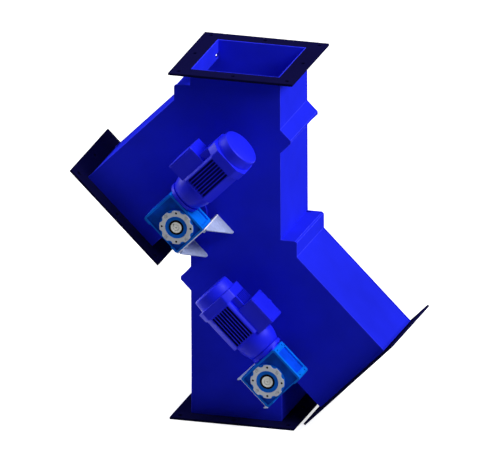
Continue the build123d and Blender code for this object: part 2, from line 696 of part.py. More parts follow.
def motor_frame():
    pad_end = COWL_START - COWL_GAP
    frame = across_motor(stepped_octagon(), SHIELD_END, pad_end)
    frame += across_motor(octagon(FRAME_HALF, FRAME_CHAMFER), pad_end, FRAME_END)
    grooves = []
    start = SHIELD_END + FIN_MARGIN
    length = COWL_START - FIN_MARGIN - start
    pad_length = COWL_START - BOX_END
    for i in range(FIN_GROOVES):
        offset_along = (i - (FIN_GROOVES - 1) / 2) * FIN_PITCH
        bar = Pos(start + length / 2, 0, 0) * Box(length, FIN_GAP, 2 * FIN_DEPTH)
        grooves.append(Pos(0, offset_along, -FRAME_HALF) * bar)
        pad_bar = Pos(BOX_END + pad_length / 2, 0, PAD_TOP) * Box(pad_length, FIN_GAP, 2 * FRAME_LEDGE)
        grooves.append(Pos(0, offset_along, 0) * pad_bar)
        for side in (-1, 1):
            sideways = Rot(90, 0, 0) * bar
            grooves.append(Pos(0, side * FRAME_HALF, offset_along) * sideways)
    for groove in grooves:
        frame -= Pos(0, GEAR_MID, CENTRE_DISTANCE) * groove
    bore_end = FRAME_END - FRAME_END_WALL
    frame -= tube_solid(FRAME_BORE_R, SHIELD_END, bore_end)
    return frame - tube_solid(MOTOR_SHAFT_R + RUN_FIT, bore_end, FRAME_END)


def end_shield():
    return turned(
        [
            (ADAPTER_END, MOTOR_SHAFT_R + RUN_FIT),
            (SHIELD_END, MOTOR_SHAFT_R + RUN_FIT),
            (SHIELD_END, SHIELD_R),
            (ADAPTER_END + SHIELD_TAPER, SHIELD_R),
            (ADAPTER_END, SHIELD_R - SHIELD_SHOULDER),
        ]
    )


def adapter():
    """Flange between gearbox and motor."""
    plate_start = ADAPTER_END - ADAPTER_PLATE
    plate = Circle(ADAPTER_R)
    for y, z in adapter_places():
        plate -= Pos(y, z) * Circle(ADAPTER_BOLT_R + FIT)
    piece = across_motor(plate, plate_start, ADAPTER_END)
    piece += tube_solid(ADAPTER_NECK_R, HOUSING_HALF, plate_start)
    return piece - tube_solid(MOTOR_SHAFT_R + SHAFT_ROOM, HOUSING_HALF, ADAPTER_END)


def fan_cowl():
    """Octagonal skirt over the frame's end and a round cap, with the fan's room inside."""
    skirt_end = COWL_STEP - COWL_WALL
    room_r = CAP_END_R - COWL_WALL
    cowl = across_motor(octagon(COWL_INNER + COWL_WALL, FRAME_CHAMFER), COWL_START, COWL_STEP)
    cowl += turned(
        [
            (COWL_STEP, 0),
            (COWL_END, 0),
            (COWL_END, CAP_END_R - CAP_ROUND),
            (COWL_END - CAP_ROUND, CAP_END_R),
            (COWL_STEP, CAP_BASE_R),
        ]
    )
    cowl -= across_motor(octagon(COWL_INNER, FRAME_CHAMFER), COWL_START, skirt_end)
    return cowl - tube_solid(room_r, skirt_end, COWL_END - COWL_WALL)


def fan():
    hub = tube_piece(FAN_HUB_R, MOTOR_SHAFT_R, FAN_START, FAN_END)
    hub += tube_piece(FAN_R, MOTOR_SHAFT_R, FAN_END - FAN_DISC, FAN_END)
    blade_low = FAN_HUB_R - FAN_BLADE
    blade_middle = Pos((FAN_START + FAN_END) / 2, 0, (FAN_R + blade_low) / 2)
    blade = blade_middle * Box(FAN_LENGTH, FAN_BLADE, FAN_R - blade_low)
    for i in range(FAN_BLADES):
        hub += Pos(0, GEAR_MID, CENTRE_DISTANCE) * Rot(360 / FAN_BLADES * i, 0, 0) * blade
    return hub


def box_block(start, end, grow, low, high):
    """Block on the motor frame, heights counted from the motor axis."""
    width = BOX_FRONT + BOX_BACK + 2 * grow
    y = GEAR_MID + (BOX_BACK - BOX_FRONT) / 2
    place = Pos((start + end) / 2, y, CENTRE_DISTANCE + (low + high) / 2)
    return place * Box(end - start, width, high - low)


def gland_sketch(shape):
    """Sketch centred on the cable entry, in the side of the terminal box that faces the valve."""
    return Pos((BOX_START + BOX_END) / 2, CENTRE_DISTANCE + (PAD_TOP + BOX_WALL + BOX_TOP) / 2) * shape


def terminal_box():
    box = box_block(BOX_START, BOX_END, 0, LEDGE_RISE, BOX_TOP)
    floor = PAD_TOP + BOX_WALL
    box -= box_block(BOX_START + BOX_WALL, BOX_END - BOX_WALL, -BOX_WALL, floor, BOX_TOP)
    box -= across_motor(stepped_octagon(), SHIELD_END, BOX_END)
    box -= across_motor(Circle(FRAME_HALF), BOX_START, SHIELD_END)
    back = GEAR_MID + BOX_BACK
    return box - slab(gland_sketch(Circle(GLAND_R + FIT)), back - BOX_WALL, back)


def cable_gland():
    """Threaded end in the box, hexagon and round cap."""
    back = GEAR_MID + BOX_BACK
    nut_end = back + GLAND_NUT
    gland = slab(gland_sketch(Circle(GLAND_R)), back - GLAND_THREAD, back)
    gland += slab(gland_sketch(RegularPolygon(GLAND_NUT_R, 6)), back, nut_end)
    return gland + slab(gland_sketch(Circle(GLAND_CAP_R)), nut_end, nut_end + GLAND_CAP)


def make_motor(stage):
    pieces = {
        "motor_frame": motor_frame(),
        "rotor_core": tube_piece(CORE_R, MOTOR_SHAFT_R, CORE_START, CORE_END),
        "cooling_fan": fan(),
    }
    for name, shape in pieces.items():
        add(f"{stage}_{name}", in_stage(in_drive(shape), stage))


def make_motor_pairs():
    both_stages("motor_adapters", in_drive(adapter()))
    both_stages("motor_end_shields", in_drive(end_shield()))
    both_stages("fan_cowls", in_drive(fan_cowl()))
    both_stages("terminal_boxes", in_drive(terminal_box()))
    stator = tube_piece(FRAME_BORE_R, CORE_R + AIR_GAP, CORE_START, CORE_END)
    both_stages("stator_cores", in_drive(stator))
    lid = box_block(BOX_START - LID_LIP, BOX_END + LID_LIP, LID_LIP, BOX_TOP, BOX_TOP + LID_THICK)
    both_stages("terminal_lids", in_drive(lid))
    both_stages("cable_glands", in_drive(cable_gland()))
    bolt = Rot(0, -90, 0) * hex_bolt(ADAPTER_BOLT_R, ADAPTER_PLATE)
    bolts = []
    for y, z in adapter_places():
        place = Pos(ADAPTER_END - ADAPTER_PLATE, GEAR_MID + y, CENTRE_DISTANCE + z)
        bolts += (place * bolt).solids()
    both_stages("adapter_bolts", in_drive(Compound(bolts)))


# Gearbox bracket


def make_bracket():
    """Plate under the gearbox foot and two triangular gussets, welded to the front plate."""
    wall = -HALF
    top = -HOUSING_HALF
    plate_middle = Pos(0, wall - BRACKET_DEPTH / 2, top - BRACKET_THICK / 2)
    plate = plate_middle * Box(BRACKET_LENGTH, BRACKET_DEPTH, BRACKET_THICK)
    for x, y in foot_places():
        plate -= Pos(x, y, top) * Cylinder(FOOT_BOLT_R + FIT, 3 * BRACKET_THICK)
    under = top - BRACKET_THICK
    profile = [
        (wall, under),
        (wall - BRACKET_DEPTH + GUSSET_CLIP, under),
        (wall - BRACKET_DEPTH + GUSSET_CLIP, under - GUSSET_CLIP / 2),
        (wall - GUSSET_CLIP, under - GUSSET_REACH),
        (wall, under - GUSSET_REACH),
    ]
    face = Plane.YZ * outline(profile)
    pieces = plate.solids()
    for x in (-BRACKET_LENGTH / 2, BRACKET_LENGTH / 2 - BRACKET_THICK):
        pieces += (Pos(x, 0, 0) * extrude(face, BRACKET_THICK)).solids()
    return pieces


def make_brackets():
    bolt = Rot(180, 0, 0) * hex_bolt(FOOT_BOLT_R, BRACKET_THICK + FOOT_BOLT_DEPTH)
    bolts = []
    for x, y in foot_places():
        bolts += (Pos(x, y, -HOUSING_HALF - BRACKET_THICK) * bolt).solids()
    both_stages("gearbox_brackets", in_drive(Compound(make_bracket())))
    both_stages("bracket_bolts", in_drive(Compound(bolts)))


make_casing()
make_bearings()
for stage_name in STAGES:
    make_flap(stage_name)
    make_gearbox(stage_name)
    make_motor(stage_name)
make_gearbox_pairs()
make_motor_pairs()
make_brackets()

os.makedirs("parts", exist_ok=True)
for node_name, node_shape in nodes.items():
    export_step(node_shape, f"parts/{node_name}.step")
print(len(nodes), "nodes; flap tilt", round(math.degrees(TILT), 4), "degrees")
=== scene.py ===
import json
import math
from contextlib import contextmanager

import bmesh
import bpy
from mathutils import Matrix, Vector


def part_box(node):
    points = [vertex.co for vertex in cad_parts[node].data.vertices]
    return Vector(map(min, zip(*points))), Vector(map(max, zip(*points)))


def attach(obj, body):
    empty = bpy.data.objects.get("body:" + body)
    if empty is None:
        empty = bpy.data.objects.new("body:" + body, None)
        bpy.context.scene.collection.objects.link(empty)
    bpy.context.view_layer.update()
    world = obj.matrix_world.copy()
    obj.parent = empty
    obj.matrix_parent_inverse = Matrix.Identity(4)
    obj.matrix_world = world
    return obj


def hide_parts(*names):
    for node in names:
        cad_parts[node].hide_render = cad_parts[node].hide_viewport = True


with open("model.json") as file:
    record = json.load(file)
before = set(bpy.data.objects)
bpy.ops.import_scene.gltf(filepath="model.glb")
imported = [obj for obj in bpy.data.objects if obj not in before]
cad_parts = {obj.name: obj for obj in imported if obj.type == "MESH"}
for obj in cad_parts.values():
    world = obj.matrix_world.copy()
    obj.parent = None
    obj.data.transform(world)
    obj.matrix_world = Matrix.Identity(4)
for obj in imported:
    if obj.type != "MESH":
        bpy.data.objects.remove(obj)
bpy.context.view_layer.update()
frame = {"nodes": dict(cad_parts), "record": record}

MM = 0.001

# The view: an orthographic camera at the photograph's angle
PHOTO_WIDTH = 504
MM_PER_PIXEL = 2.5
AZIMUTH = math.radians(16.75)
ELEVATION = math.radians(19.3)
ROLL = math.radians(-0.28)
AIM_RIGHT = 4.5 * MM
AIM_UP = 439.75 * MM
CAMERA_DISTANCE = 3.0


def make_camera():
    turn = Matrix.Rotation(AZIMUTH, 4, "Z") @ Matrix.Rotation(math.radians(90) - ELEVATION, 4, "X")
    turn = turn @ Matrix.Rotation(ROLL, 4, "Z")
    aim = turn @ Vector((AIM_RIGHT, AIM_UP, CAMERA_DISTANCE))
    data = bpy.data.cameras.new("view_camera")
    data.type = "ORTHO"
    data.ortho_scale = PHOTO_WIDTH * MM_PER_PIXEL * MM
    data.clip_end = 30
    camera = bpy.data.objects.new("view_camera", data)
    camera.matrix_world = Matrix.Translation(aim) @ turn
    bpy.context.scene.collection.objects.link(camera)
    bpy.context.scene.camera = camera


# Light


def area_lamp(name, towards, distance, size, power):
    """Square soft box that shines on the middle of the valve from a direction."""
    data = bpy.data.lights.new(name, "AREA")
    data.shape = "SQUARE"
    data.size = size
    data.energy = power
    lamp = bpy.data.objects.new(name, data)
    middle = Vector((0, 0, 0.45))
    way = Vector(towards).normalized()
    lamp.location = middle + way * distance
    lamp.rotation_euler = way.to_track_quat("Z", "Y").to_euler()
    bpy.context.scene.collection.objects.link(lamp)


def background_rays(nodes, links):
    """1 for the rays that show the background: camera, glossy and transmission."""
    rays = nodes.new("ShaderNodeLightPath")
    direct = nodes.new("ShaderNodeMath")
    direct.operation = "MAXIMUM"
    links.new(rays.outputs["Is Camera Ray"], direct.inputs[0])
    links.new(rays.outputs["Is Glossy Ray"], direct.inputs[1])
    every = nodes.new("ShaderNodeMath")
    every.operation = "MAXIMUM"
    links.new(direct.outputs[0], every.inputs[0])
    links.new(rays.outputs["Is Transmission Ray"], every.inputs[1])
    return every.outputs[0]


AMBIENT = 0.03


def make_light():
    area_lamp("right_soft_box", (0.86, -0.05, 0.72), 3.2, 1.4, 98)
    area_lamp("gloss_strip", (0.67, -0.43, 0.61), 3.2, 0.8, 10)
    area_lamp("top_soft_box", (-0.42, 0.0, 1.0), 3.2, 1.8, 40)
    area_lamp("left_strip", (-0.93, 0.0, 0.34), 3.2, 1.2, 48)
    area_lamp("back_fill", (-0.4, 1.0, 0.3), 3.5, 2.2, 16)
    world = bpy.data.worlds.new("studio")
    bpy.context.scene.world = world
    world.use_nodes = True
    nodes = world.node_tree.nodes
    links = world.node_tree.links
    nodes.clear()
    output = nodes.new("ShaderNodeOutputWorld")
    mix = nodes.new("ShaderNodeMixShader")
    ambient = nodes.new("ShaderNodeBackground")
    ambient.inputs["Color"].default_value = (0.93, 0.96, 1.0, 1)
    ambient.inputs["Strength"].default_value = AMBIENT
    white = nodes.new("ShaderNodeBackground")
    white.inputs["Strength"].default_value = 1.0
    links.new(background_rays(nodes, links), mix.inputs["Fac"])
    links.new(ambient.outputs[0], mix.inputs[1])
    links.new(white.outputs[0], mix.inputs[2])
    links.new(mix.outputs[0], output.inputs["Surface"])
    bpy.context.scene.view_settings.view_transform = "Standard"


FLOOR_SIZE = 12.0
FLOOR_DROP = 0.0005  # keeps the floor just under the bottom flange
FLOOR_GLOW = 0.72  # makes the background pale for the rays that show it
BOUNCE_GREY = 0.46  # holds down the light that the floor throws back on the valve


def make_floor():
    """Pale floor for the rays that show the background; diffuse rays meet a greyer one."""
    bpy.ops.mesh.primitive_plane_add(size=FLOOR_SIZE, location=(0, 0, -FLOOR_DROP))
    floor = bpy.context.object
    floor.name = "studio_floor"
    material = bpy.data.materials.new("studio_floor")
    material.use_nodes = True
    nodes = material.node_tree.nodes
    links = material.node_tree.links
    shader = nodes["Principled BSDF"]
    shader.inputs["Base Color"].default_value = (0.9, 0.9, 0.9, 1)
    shader.inputs["Roughness"].default_value = 0.9
    shader.inputs["Specular IOR Level"].default_value = 0.1
    glow = nodes.new("ShaderNodeEmission")
    glow.inputs["Strength"].default_value = FLOOR_GLOW
    both = nodes.new("ShaderNodeAddShader")
    bounce = nodes.new("ShaderNodeBsdfDiffuse")
    bounce.inputs["Color"].default_value = (BOUNCE_GREY, BOUNCE_GREY, BOUNCE_GREY, 1)
    mix = nodes.new("ShaderNodeMixShader")
    links.new(shader.outputs[0], both.inputs[0])
    links.new(glow.outputs[0], both.inputs[1])
    links.new(background_rays(nodes, links), mix.inputs["Fac"])
    links.new(bounce.outputs[0], mix.inputs[1])
    links.new(both.outputs[0], mix.inputs[2])
    links.new(mix.outputs[0], nodes["Material Output"].inputs["Surface"])
    floor.data.materials.append(material)


# Shared surface effects, as node groups


class Net:
    """A node tree with short calls to add and join nodes."""

    def __init__(self, tree):
        self.tree = tree
        self.nodes = tree.nodes
        self.links = tree.links

    def add(self, kind, **values):
        node = self.nodes.new(kind)
        for key, value in values.items():
            setattr(node, key, value)
        return node

    def join(self, source, target):
        self.links.new(source, target)

    def maths(self, operation, first, second=None, clamp=False):
        node = self.add("ShaderNodeMath", operation=operation, use_clamp=clamp)
        for socket, value in zip(node.inputs, (first, second)):
            if value is None:
                continue
            if isinstance(value, (int, float)):
                socket.default_value = value
            else:
                self.join(value, socket)
        return node.outputs[0]

    def noise(self, vector, scale, detail=4.0, rough=0.5):
        node = self.add("ShaderNodeTexNoise")
        node.inputs["Detail"].default_value = detail
        node.inputs["Roughness"].default_value = rough
        if isinstance(scale, (int, float)):
            node.inputs["Scale"].default_value = scale
        else:
            self.join(scale, node.inputs["Scale"])
        self.join(vector, node.inputs["Vector"])
        return node.outputs["Fac"]

    def spread(self, value, low, high, to_low=0.0, to_high=1.0):
        node = self.add("ShaderNodeMapRange")
        node.inputs["From Min"].default_value = low
        node.inputs["From Max"].default_value = high
        node.inputs["To Min"].default_value = to_low
        node.inputs["To Max"].default_value = to_high
        self.join(value, node.inputs["Value"])
        return node.outputs["Result"]

    def blend(self, factor, first, second, mode="MIX"):
        node = self.add("ShaderNodeMix", data_type="RGBA", blend_type=mode)
        for socket, value in ((node.inputs[0], factor), (node.inputs[6], first), (node.inputs[7], second)):
            if isinstance(value, (int, float)):
                socket.default_value = value
            elif isinstance(value, tuple):
                socket.default_value = (*value, 1)
            else:
                self.join(value, socket)
        return node.outputs[2]

    def bump(self, height, strength, distance):
        node = self.add("ShaderNodeBump")
        node.inputs["Distance"].default_value = distance
        if isinstance(strength, (int, float)):
            node.inputs["Strength"].default_value = strength
        else:
            self.join(strength, node.inputs["Strength"])
        self.join(height, node.inputs["Height"])
        return node.outputs["Normal"]


def new_group(name, inputs, outputs):
    tree = bpy.data.node_groups.new(name, "ShaderNodeTree")
    for label, kind, value in inputs:
        socket = tree.interface.new_socket(label, in_out="INPUT", socket_type=kind)
        socket.default_value = value
    for label, kind in outputs:
        tree.interface.new_socket(label, in_out="OUTPUT", socket_type=kind)
    net = Net(tree)
    entry = net.add("NodeGroupInput")
    leave = net.add("NodeGroupOutput")
    place = net.add("ShaderNodeTexCoord").outputs["Object"]
    return net, entry.outputs, leave.inputs, place


COLOUR = "NodeSocketColor"
VALUE = "NodeSocketFloat"
SKIN_OUTPUTS = [("Colour", COLOUR), ("Roughness", VALUE), ("Normal", "NodeSocketVector")]


def paint_skin():
    """Enamel: faint drift of colour, orange peel, and a film of pale product dust."""
    net, given, out, place = new_group(
        "enamel_skin",
        [
            ("Colour", COLOUR, (1, 1, 1, 1)),
            ("Roughness", VALUE, 0.5),
            ("Drift", VALUE, 0.12),
            ("Peel scale", VALUE, 260.0),
            ("Peel", VALUE, 0.08),
            ("Dust", VALUE, 0.03),
        ],
        SKIN_OUTPUTS,
    )
    broad = net.noise(place, 5.0, 3.0)
    cloud = net.noise(place, 38.0, 5.0, 0.6)
    light = net.spread(broad, 0.3, 0.7, -1.0, 1.0)
    shift = net.maths("MULTIPLY", light, given["Drift"])
    level = net.maths("ADD", shift, 1.0)
    tone = net.add("ShaderNodeVectorMath", operation="SCALE")
    net.join(given["Colour"], tone.inputs[0])
    net.join(level, tone.inputs["Scale"])
    dusty = net.maths("MULTIPLY", net.spread(cloud, 0.5, 0.78), given["Dust"], clamp=True)
    net.join(net.blend(dusty, tone.outputs[0], (0.42, 0.44, 0.55)), out["Colour"])
    rough = net.maths("ADD", given["Roughness"], net.spread(cloud, 0.3, 0.75, -0.05, 0.09))
    net.join(rough, out["Roughness"])
    peel = net.noise(place, given["Peel scale"], 2.0)
    net.join(net.bump(peel, given["Peel"], 0.0006), out["Normal"])
    return net.tree


def cast_skin():
    """Painted die casting: fine pitted grain under the colour, with painted shade that darkens its hollows."""
    net, given, out, place = new_group(
        "casting_skin",
        [
            ("Colour", COLOUR, (1, 1, 1, 1)),
            ("Roughness", VALUE, 0.4),
            ("Grain scale", VALUE, 520.0),
            ("Grain", VALUE, 0.22),
            ("Drift", VALUE, 0.16),
        ],
        SKIN_OUTPUTS,
    )
    grain = net.noise(place, given["Grain scale"], 3.0, 0.65)
    patch = net.noise(place, 30.0, 4.0)
    level = net.maths("MULTIPLY", net.spread(patch, 0.3, 0.7, -1.0, 1.0), given["Drift"])
    # Painted shade: the grain is darker where its bump dips
    painted_pit_shade = net.spread(grain, 0.25, 0.45, -0.12, 0.0)
    tone = net.add("ShaderNodeVectorMath", operation="SCALE")
    net.join(given["Colour"], tone.inputs[0])
    net.join(net.maths("ADD", net.maths("ADD", level, painted_pit_shade), 1.0), tone.inputs["Scale"])
    net.join(tone.outputs[0], out["Colour"])
    net.join(net.maths("ADD", given["Roughness"], net.spread(grain, 0.3, 0.7, -0.06, 0.08)), out["Roughness"])
    net.join(net.bump(grain, given["Grain"], 0.0005), out["Normal"])
    return net.tree


def metal_skin():
    """Bare metal: fine lines along one way, a few deeper scuffs and dull patches."""
    net, given, out, place = new_group(
        "bare_metal_skin",
        [
            ("Colour", COLOUR, (1, 1, 1, 1)),
            ("Roughness", VALUE, 0.35),
            ("Stretch", "NodeSocketVector", (1, 1, 1)),
            ("Lines", VALUE, 0.12),
            ("Tarnish", VALUE, 0.25),
        ],
        SKIN_OUTPUTS,
    )
    stretched = net.add("ShaderNodeVectorMath", operation="MULTIPLY")
    net.join(place, stretched.inputs[0])
    net.join(given["Stretch"], stretched.inputs[1])
    lines = net.noise(stretched.outputs[0], 900.0, 4.0, 0.7)
    patch = net.noise(place, 24.0, 5.0, 0.6)
    dull = net.maths("MULTIPLY", net.spread(patch, 0.45, 0.72), given["Tarnish"])
    darker = net.add("ShaderNodeVectorMath", operation="SCALE")
    net.join(given["Colour"], darker.inputs[0])
    darker.inputs["Scale"].default_value = 0.45
    net.join(net.blend(dull, given["Colour"], darker.outputs[0]), out["Colour"])
    rough = net.maths("ADD", given["Roughness"], net.maths("MULTIPLY", dull, 0.35))
    net.join(net.maths("ADD", rough, net.spread(lines, 0.3, 0.7, -0.06, 0.06)), out["Roughness"])
    net.join(net.bump(lines, given["Lines"], 0.0002), out["Normal"])
    return net.tree


def spangle_skin():
    """Hot-dip zinc: crystals of slightly different grey."""
    net, given, out, place = new_group(
        "zinc_skin",
        [("Colour", COLOUR, (1, 1, 1, 1)), ("Roughness", VALUE, 0.4), ("Contrast", VALUE, 0.2)],
        SKIN_OUTPUTS,
    )
    cells = net.add("ShaderNodeTexVoronoi")
    cells.inputs["Scale"].default_value = 150.0
    net.join(place, cells.inputs["Vector"])
    split = net.add("ShaderNodeSeparateColor")
    net.join(cells.outputs["Color"], split.inputs[0])
    shade = net.maths("MULTIPLY", net.maths("SUBTRACT", split.outputs[0], 0.5), given["Contrast"])
    tone = net.add("ShaderNodeVectorMath", operation="SCALE")
    net.join(given["Colour"], tone.inputs[0])
    net.join(net.maths("ADD", shade, 1.0), tone.inputs["Scale"])
    net.join(tone.outputs[0], out["Colour"])
    net.join(net.maths("ADD", given["Roughness"], net.maths("MULTIPLY", shade, 0.6)), out["Roughness"])
    fine = net.noise(place, 700.0, 2.0)
    net.join(net.bump(fine, 0.06, 0.0003), out["Normal"])
    return net.tree


SKINS = {"enamel": paint_skin(), "casting": cast_skin(), "metal": metal_skin(), "zinc": spangle_skin()}


def finish_material(name, skin, colour, rough, metallic=0.0, specular=0.5, **values):
    """Principled material whose colour, roughness and normal come from a shared skin."""
    material = bpy.data.materials.new(name)
    material.use_nodes = True
    net = Net(material.node_tree)
    shader = net.nodes["Principled BSDF"]
    group = net.add("ShaderNodeGroup")
    group.node_tree = SKINS[skin]
    group.inputs["Colour"].default_value = (*colour, 1)
    group.inputs["Roughness"].default_value = rough
    for key, value in values.items():
        group.inputs[key.replace("_", " ").capitalize()].default_value = value
    shader.inputs["Metallic"].default_value = metallic
    shader.inputs["Specular IOR Level"].default_value = specular
    net.join(group.outputs["Colour"], shader.inputs["Base Color"])
    net.join(group.outputs["Roughness"], shader.inputs["Roughness"])
    net.join(group.outputs["Normal"], shader.inputs["Normal"])
    return material


FINISH = {
    "casing": finish_material("casing_enamel", "enamel", (0.014, 0.022, 0.76), 0.5, specular=0.0, dust=0.002),
    "flange": finish_material("flange_enamel", "enamel", (0.005, 0.0045, 0.042), 0.8, specular=0.0, dust=0.0),
    "bearing_casting": finish_material("bearing_casting", "casting", (0.012, 0.013, 0.02), 0.5, specular=0.2),
    "bronze": finish_material("bronze", "metal", (0.62, 0.38, 0.16), 0.3, metallic=1.0),
    "rubber": finish_material("black_rubber", "casting", (0.002, 0.002, 0.003), 0.7, specular=0.04),
    "fastener": finish_material("zinc_fastener", "metal", (0.33, 0.35, 0.38), 0.4, metallic=0.3),
    "gearbox_paint": finish_material("azure_casting", "casting", (0.0015, 0.17, 0.86), 0.4, specular=0.06),
    "cover_ring": finish_material(
        "cast_cover", "metal", (0.64, 0.68, 0.76), 0.5, metallic=0.1, specular=0.2, tarnish=0.1
    ),
    "bearing_steel": finish_material("ground_steel", "metal", (0.6, 0.6, 0.62), 0.25, metallic=1.0),
    "shaft_steel": finish_material("turned_steel", "metal", (0.90, 0.90, 0.87), 0.3, metallic=0.1),
    "flap_steel": finish_material("worn_steel", "metal", (0.42, 0.43, 0.45), 0.42, metallic=1.0, tarnish=0.5),
    "motor_paint": finish_material(
        "motor_enamel", "enamel", (0.010, 0.015, 0.88), 0.42, specular=0.13, peel=0.04, dust=0.002
    ),
    "core_steel": finish_material("laminated_steel", "metal", (0.3, 0.3, 0.32), 0.5, metallic=1.0),
    "fan_plastic": finish_material("fan_plastic", "casting", (0.02, 0.02, 0.022), 0.5, specular=0.3),
    "bracket_steel": finish_material(
        "galvanised_steel", "zinc", (0.42, 0.49, 0.72), 0.5, metallic=0.1, specular=0.1
    ),
}

# Lighter copies of the finishes for rounded edges: painted highlights
PAINTED_EDGE_HIGHLIGHT = {
    "bracket_steel": finish_material("zinc_painted_highlight", "zinc", (0.97, 0.98, 1.0), 0.4, specular=0.6),
    "gearbox_paint": finish_material("azure_painted_highlight", "casting", (0.01, 0.32, 1.0), 0.35, specular=0.1),
    "casing": finish_material("enamel_painted_highlight", "enamel", (0.03, 0.04, 0.98), 0.4, specular=0.02),
    "motor_paint": finish_material("motor_painted_highlight", "enamel", (0.03, 0.04, 0.90), 0.35, specular=0.15),
}
# Much darker motor paint for the faces between the fins: painted shade
MOTOR_GROOVE_SHADE = finish_material("motor_groove_painted_shade", "enamel", (0.002, 0.003, 0.20), 0.6, specular=0.03, dust=0.01)
# Darker azure for the housing's recessed panels: painted shade
GEARBOX_PAINTED_SHADE = finish_material(
    "azure_painted_shade", "casting", (0.001, 0.075, 0.60), 0.5, specular=0.03, drift=0.35
)
# Darker azure for the far pocket's floor: painted shade
POCKET_PAINTED_SHADE = finish_material("pocket_floor_painted_shade", "casting", (0.001, 0.07, 0.85), 0.5, specular=0.05)


# Bench tools: pieces are shaped in edit mode, and their sizes are in millimetres

TURNS = {"X": (0, math.radians(90), 0), "Y": (math.radians(90), 0, 0), "Z": (0, 0, 0)}
ALONG = {"X": Vector((1, 0, 0)), "Y": Vector((0, 1, 0)), "Z": Vector((0, 0, 1))}
SMOOTH_BELOW = math.radians(35)
CRISP_BELOW = math.radians(14)  # for eased pieces, so that flat sides stay flat beside a bend
SPARE = 5.0  # how far cutting shapes pass the surface they cut


def take(piece):
    bpy.ops.object.select_all(action="DESELECT")
    piece.select_set(True)
    bpy.context.view_layer.objects.active = piece


@contextmanager
def edited(piece):
    take(piece)
    bpy.ops.object.mode_set(mode="EDIT")
    yield
    bpy.ops.object.mode_set(mode="OBJECT")


def pick(piece, kind, test):
    """Select the faces or edges whose middle, in millimetres, and direction pass a test."""
    bpy.ops.mesh.select_mode(type=kind)
    bpy.ops.mesh.select_all(action="DESELECT")
    shape = bmesh.from_edit_mesh(piece.data)
    if kind == "FACE":
        rows = [(face, face.calc_center_median(), face.normal) for face in shape.faces]
    else:
        rows = []
        for edge in shape.edges:
            first, second = edge.verts[0].co, edge.verts[1].co
            rows.append((edge, (first + second) / 2, (second - first).normalized()))
    for item, place, way in rows:
        item.select_set(bool(test(place / MM, way)))
    bmesh.update_edit_mesh(piece.data)


def block(name, low, high):
    """Cuboid between two corners."""
    low, high = Vector(low) * MM, Vector(high) * MM
    bpy.ops.object.select_all(action="DESELECT")
    bpy.ops.mesh.primitive_cube_add(size=1, location=(low + high) / 2, scale=high - low)
    piece = bpy.context.object
    piece.name = name
    bpy.ops.object.transform_apply(location=True, rotation=True, scale=True)
    return piece


def rod(name, axis, centre, radius, start, end, sides=64):
    """Cylinder between two places on its axis; centre gives the other two coordinates."""
    middle = Vector(centre) * MM
    index = "XYZ".index(axis)
    middle[index] = (start + end) / 2 * MM
    bpy.ops.object.select_all(action="DESELECT")
    bpy.ops.mesh.primitive_cylinder_add(
        vertices=sides, radius=radius * MM, depth=(end - start) * MM, location=middle, rotation=TURNS[axis]
    )
    piece = bpy.context.object
    piece.name = name
    bpy.ops.object.transform_apply(location=True, rotation=True, scale=True)
    return piece


def turned(name, axis, centre, rings, sides=72):
    """Round piece drawn out from a circle, ring by ring; each ring is (place on the axis, radius)."""
    middle = Vector(centre) * MM
    index = "XYZ".index(axis)
    middle[index] = rings[0][0] * MM
    bpy.ops.object.select_all(action="DESELECT")
    bpy.ops.mesh.primitive_circle_add(
        vertices=sides, radius=rings[0][1] * MM, location=middle, rotation=TURNS[axis]
    )
    piece = bpy.context.object
    piece.name = name
    bpy.ops.object.transform_apply(location=True, rotation=True, scale=True)
    with edited(piece):
        bpy.ops.mesh.select_mode(type="VERT")
        bpy.ops.mesh.select_all(action="SELECT")
        for (place, radius), (next_place, next_radius) in zip(rings, rings[1:]):
            step = ALONG[axis] * (next_place - place) * MM
            bpy.ops.mesh.extrude_region_move(TRANSFORM_OT_translate={"value": step})
            middle[index] = next_place * MM
            if next_radius != radius:
                grow = [next_radius / radius] * 3
                grow[index] = 1.0
                bpy.ops.transform.resize(value=grow, center_override=middle)
        bpy.ops.mesh.select_all(action="SELECT")
        bpy.ops.mesh.remove_doubles(threshold=0.01 * MM)
        if rings[0] != rings[-1]:
            bpy.ops.mesh.select_all(action="DESELECT")
            bpy.ops.mesh.select_mode(type="EDGE")
            bpy.ops.mesh.select_non_manifold()
            bpy.ops.mesh.fill_holes(sides=0)
        bpy.ops.mesh.select_all(action="SELECT")
        bpy.ops.mesh.normals_make_consistent(inside=False)
    return piece


def shape_with(piece, others, operation="DIFFERENCE"):
    """Cut the others from a piece, or fuse them to it; they are used up."""
    for other in others:
        modifier = piece.modifiers.new("shape", "BOOLEAN")
        modifier.operation = operation
        modifier.solver = "EXACT"
        modifier.object = other
        take(piece)
        bpy.ops.object.modifier_apply(modifier=modifier.name)
        bpy.data.objects.remove(other)
    return piece


def joined(pieces):
    """One piece out of several that don't touch."""
    take(pieces[0])
    for piece in pieces[1:]:
        piece.select_set(True)
    bpy.ops.object.join()
    return pieces[0]


def smooth(piece, below=SMOOTH_BELOW):
    take(piece)
    bpy.ops.object.shade_smooth_by_angle(angle=below)
    return piece


def ease(piece, width, segments=2, sharper_than=30.0):
    """Round every edge sharper than an angle; the rounded strips take the second material, which is a lighter
    painted highlight where the finish has one.
    """
    modifier = piece.modifiers.new("ease", "BEVEL")
    modifier.width = width * MM
    modifier.segments = segments
    modifier.limit_method = "ANGLE"
    modifier.angle_limit = math.radians(sharper_than)
    modifier.material = 1
    modifier.use_clamp_overlap = True
    take(piece)
    bpy.ops.object.modifier_apply(modifier=modifier.name)
    return smooth(piece, CRISP_BELOW)


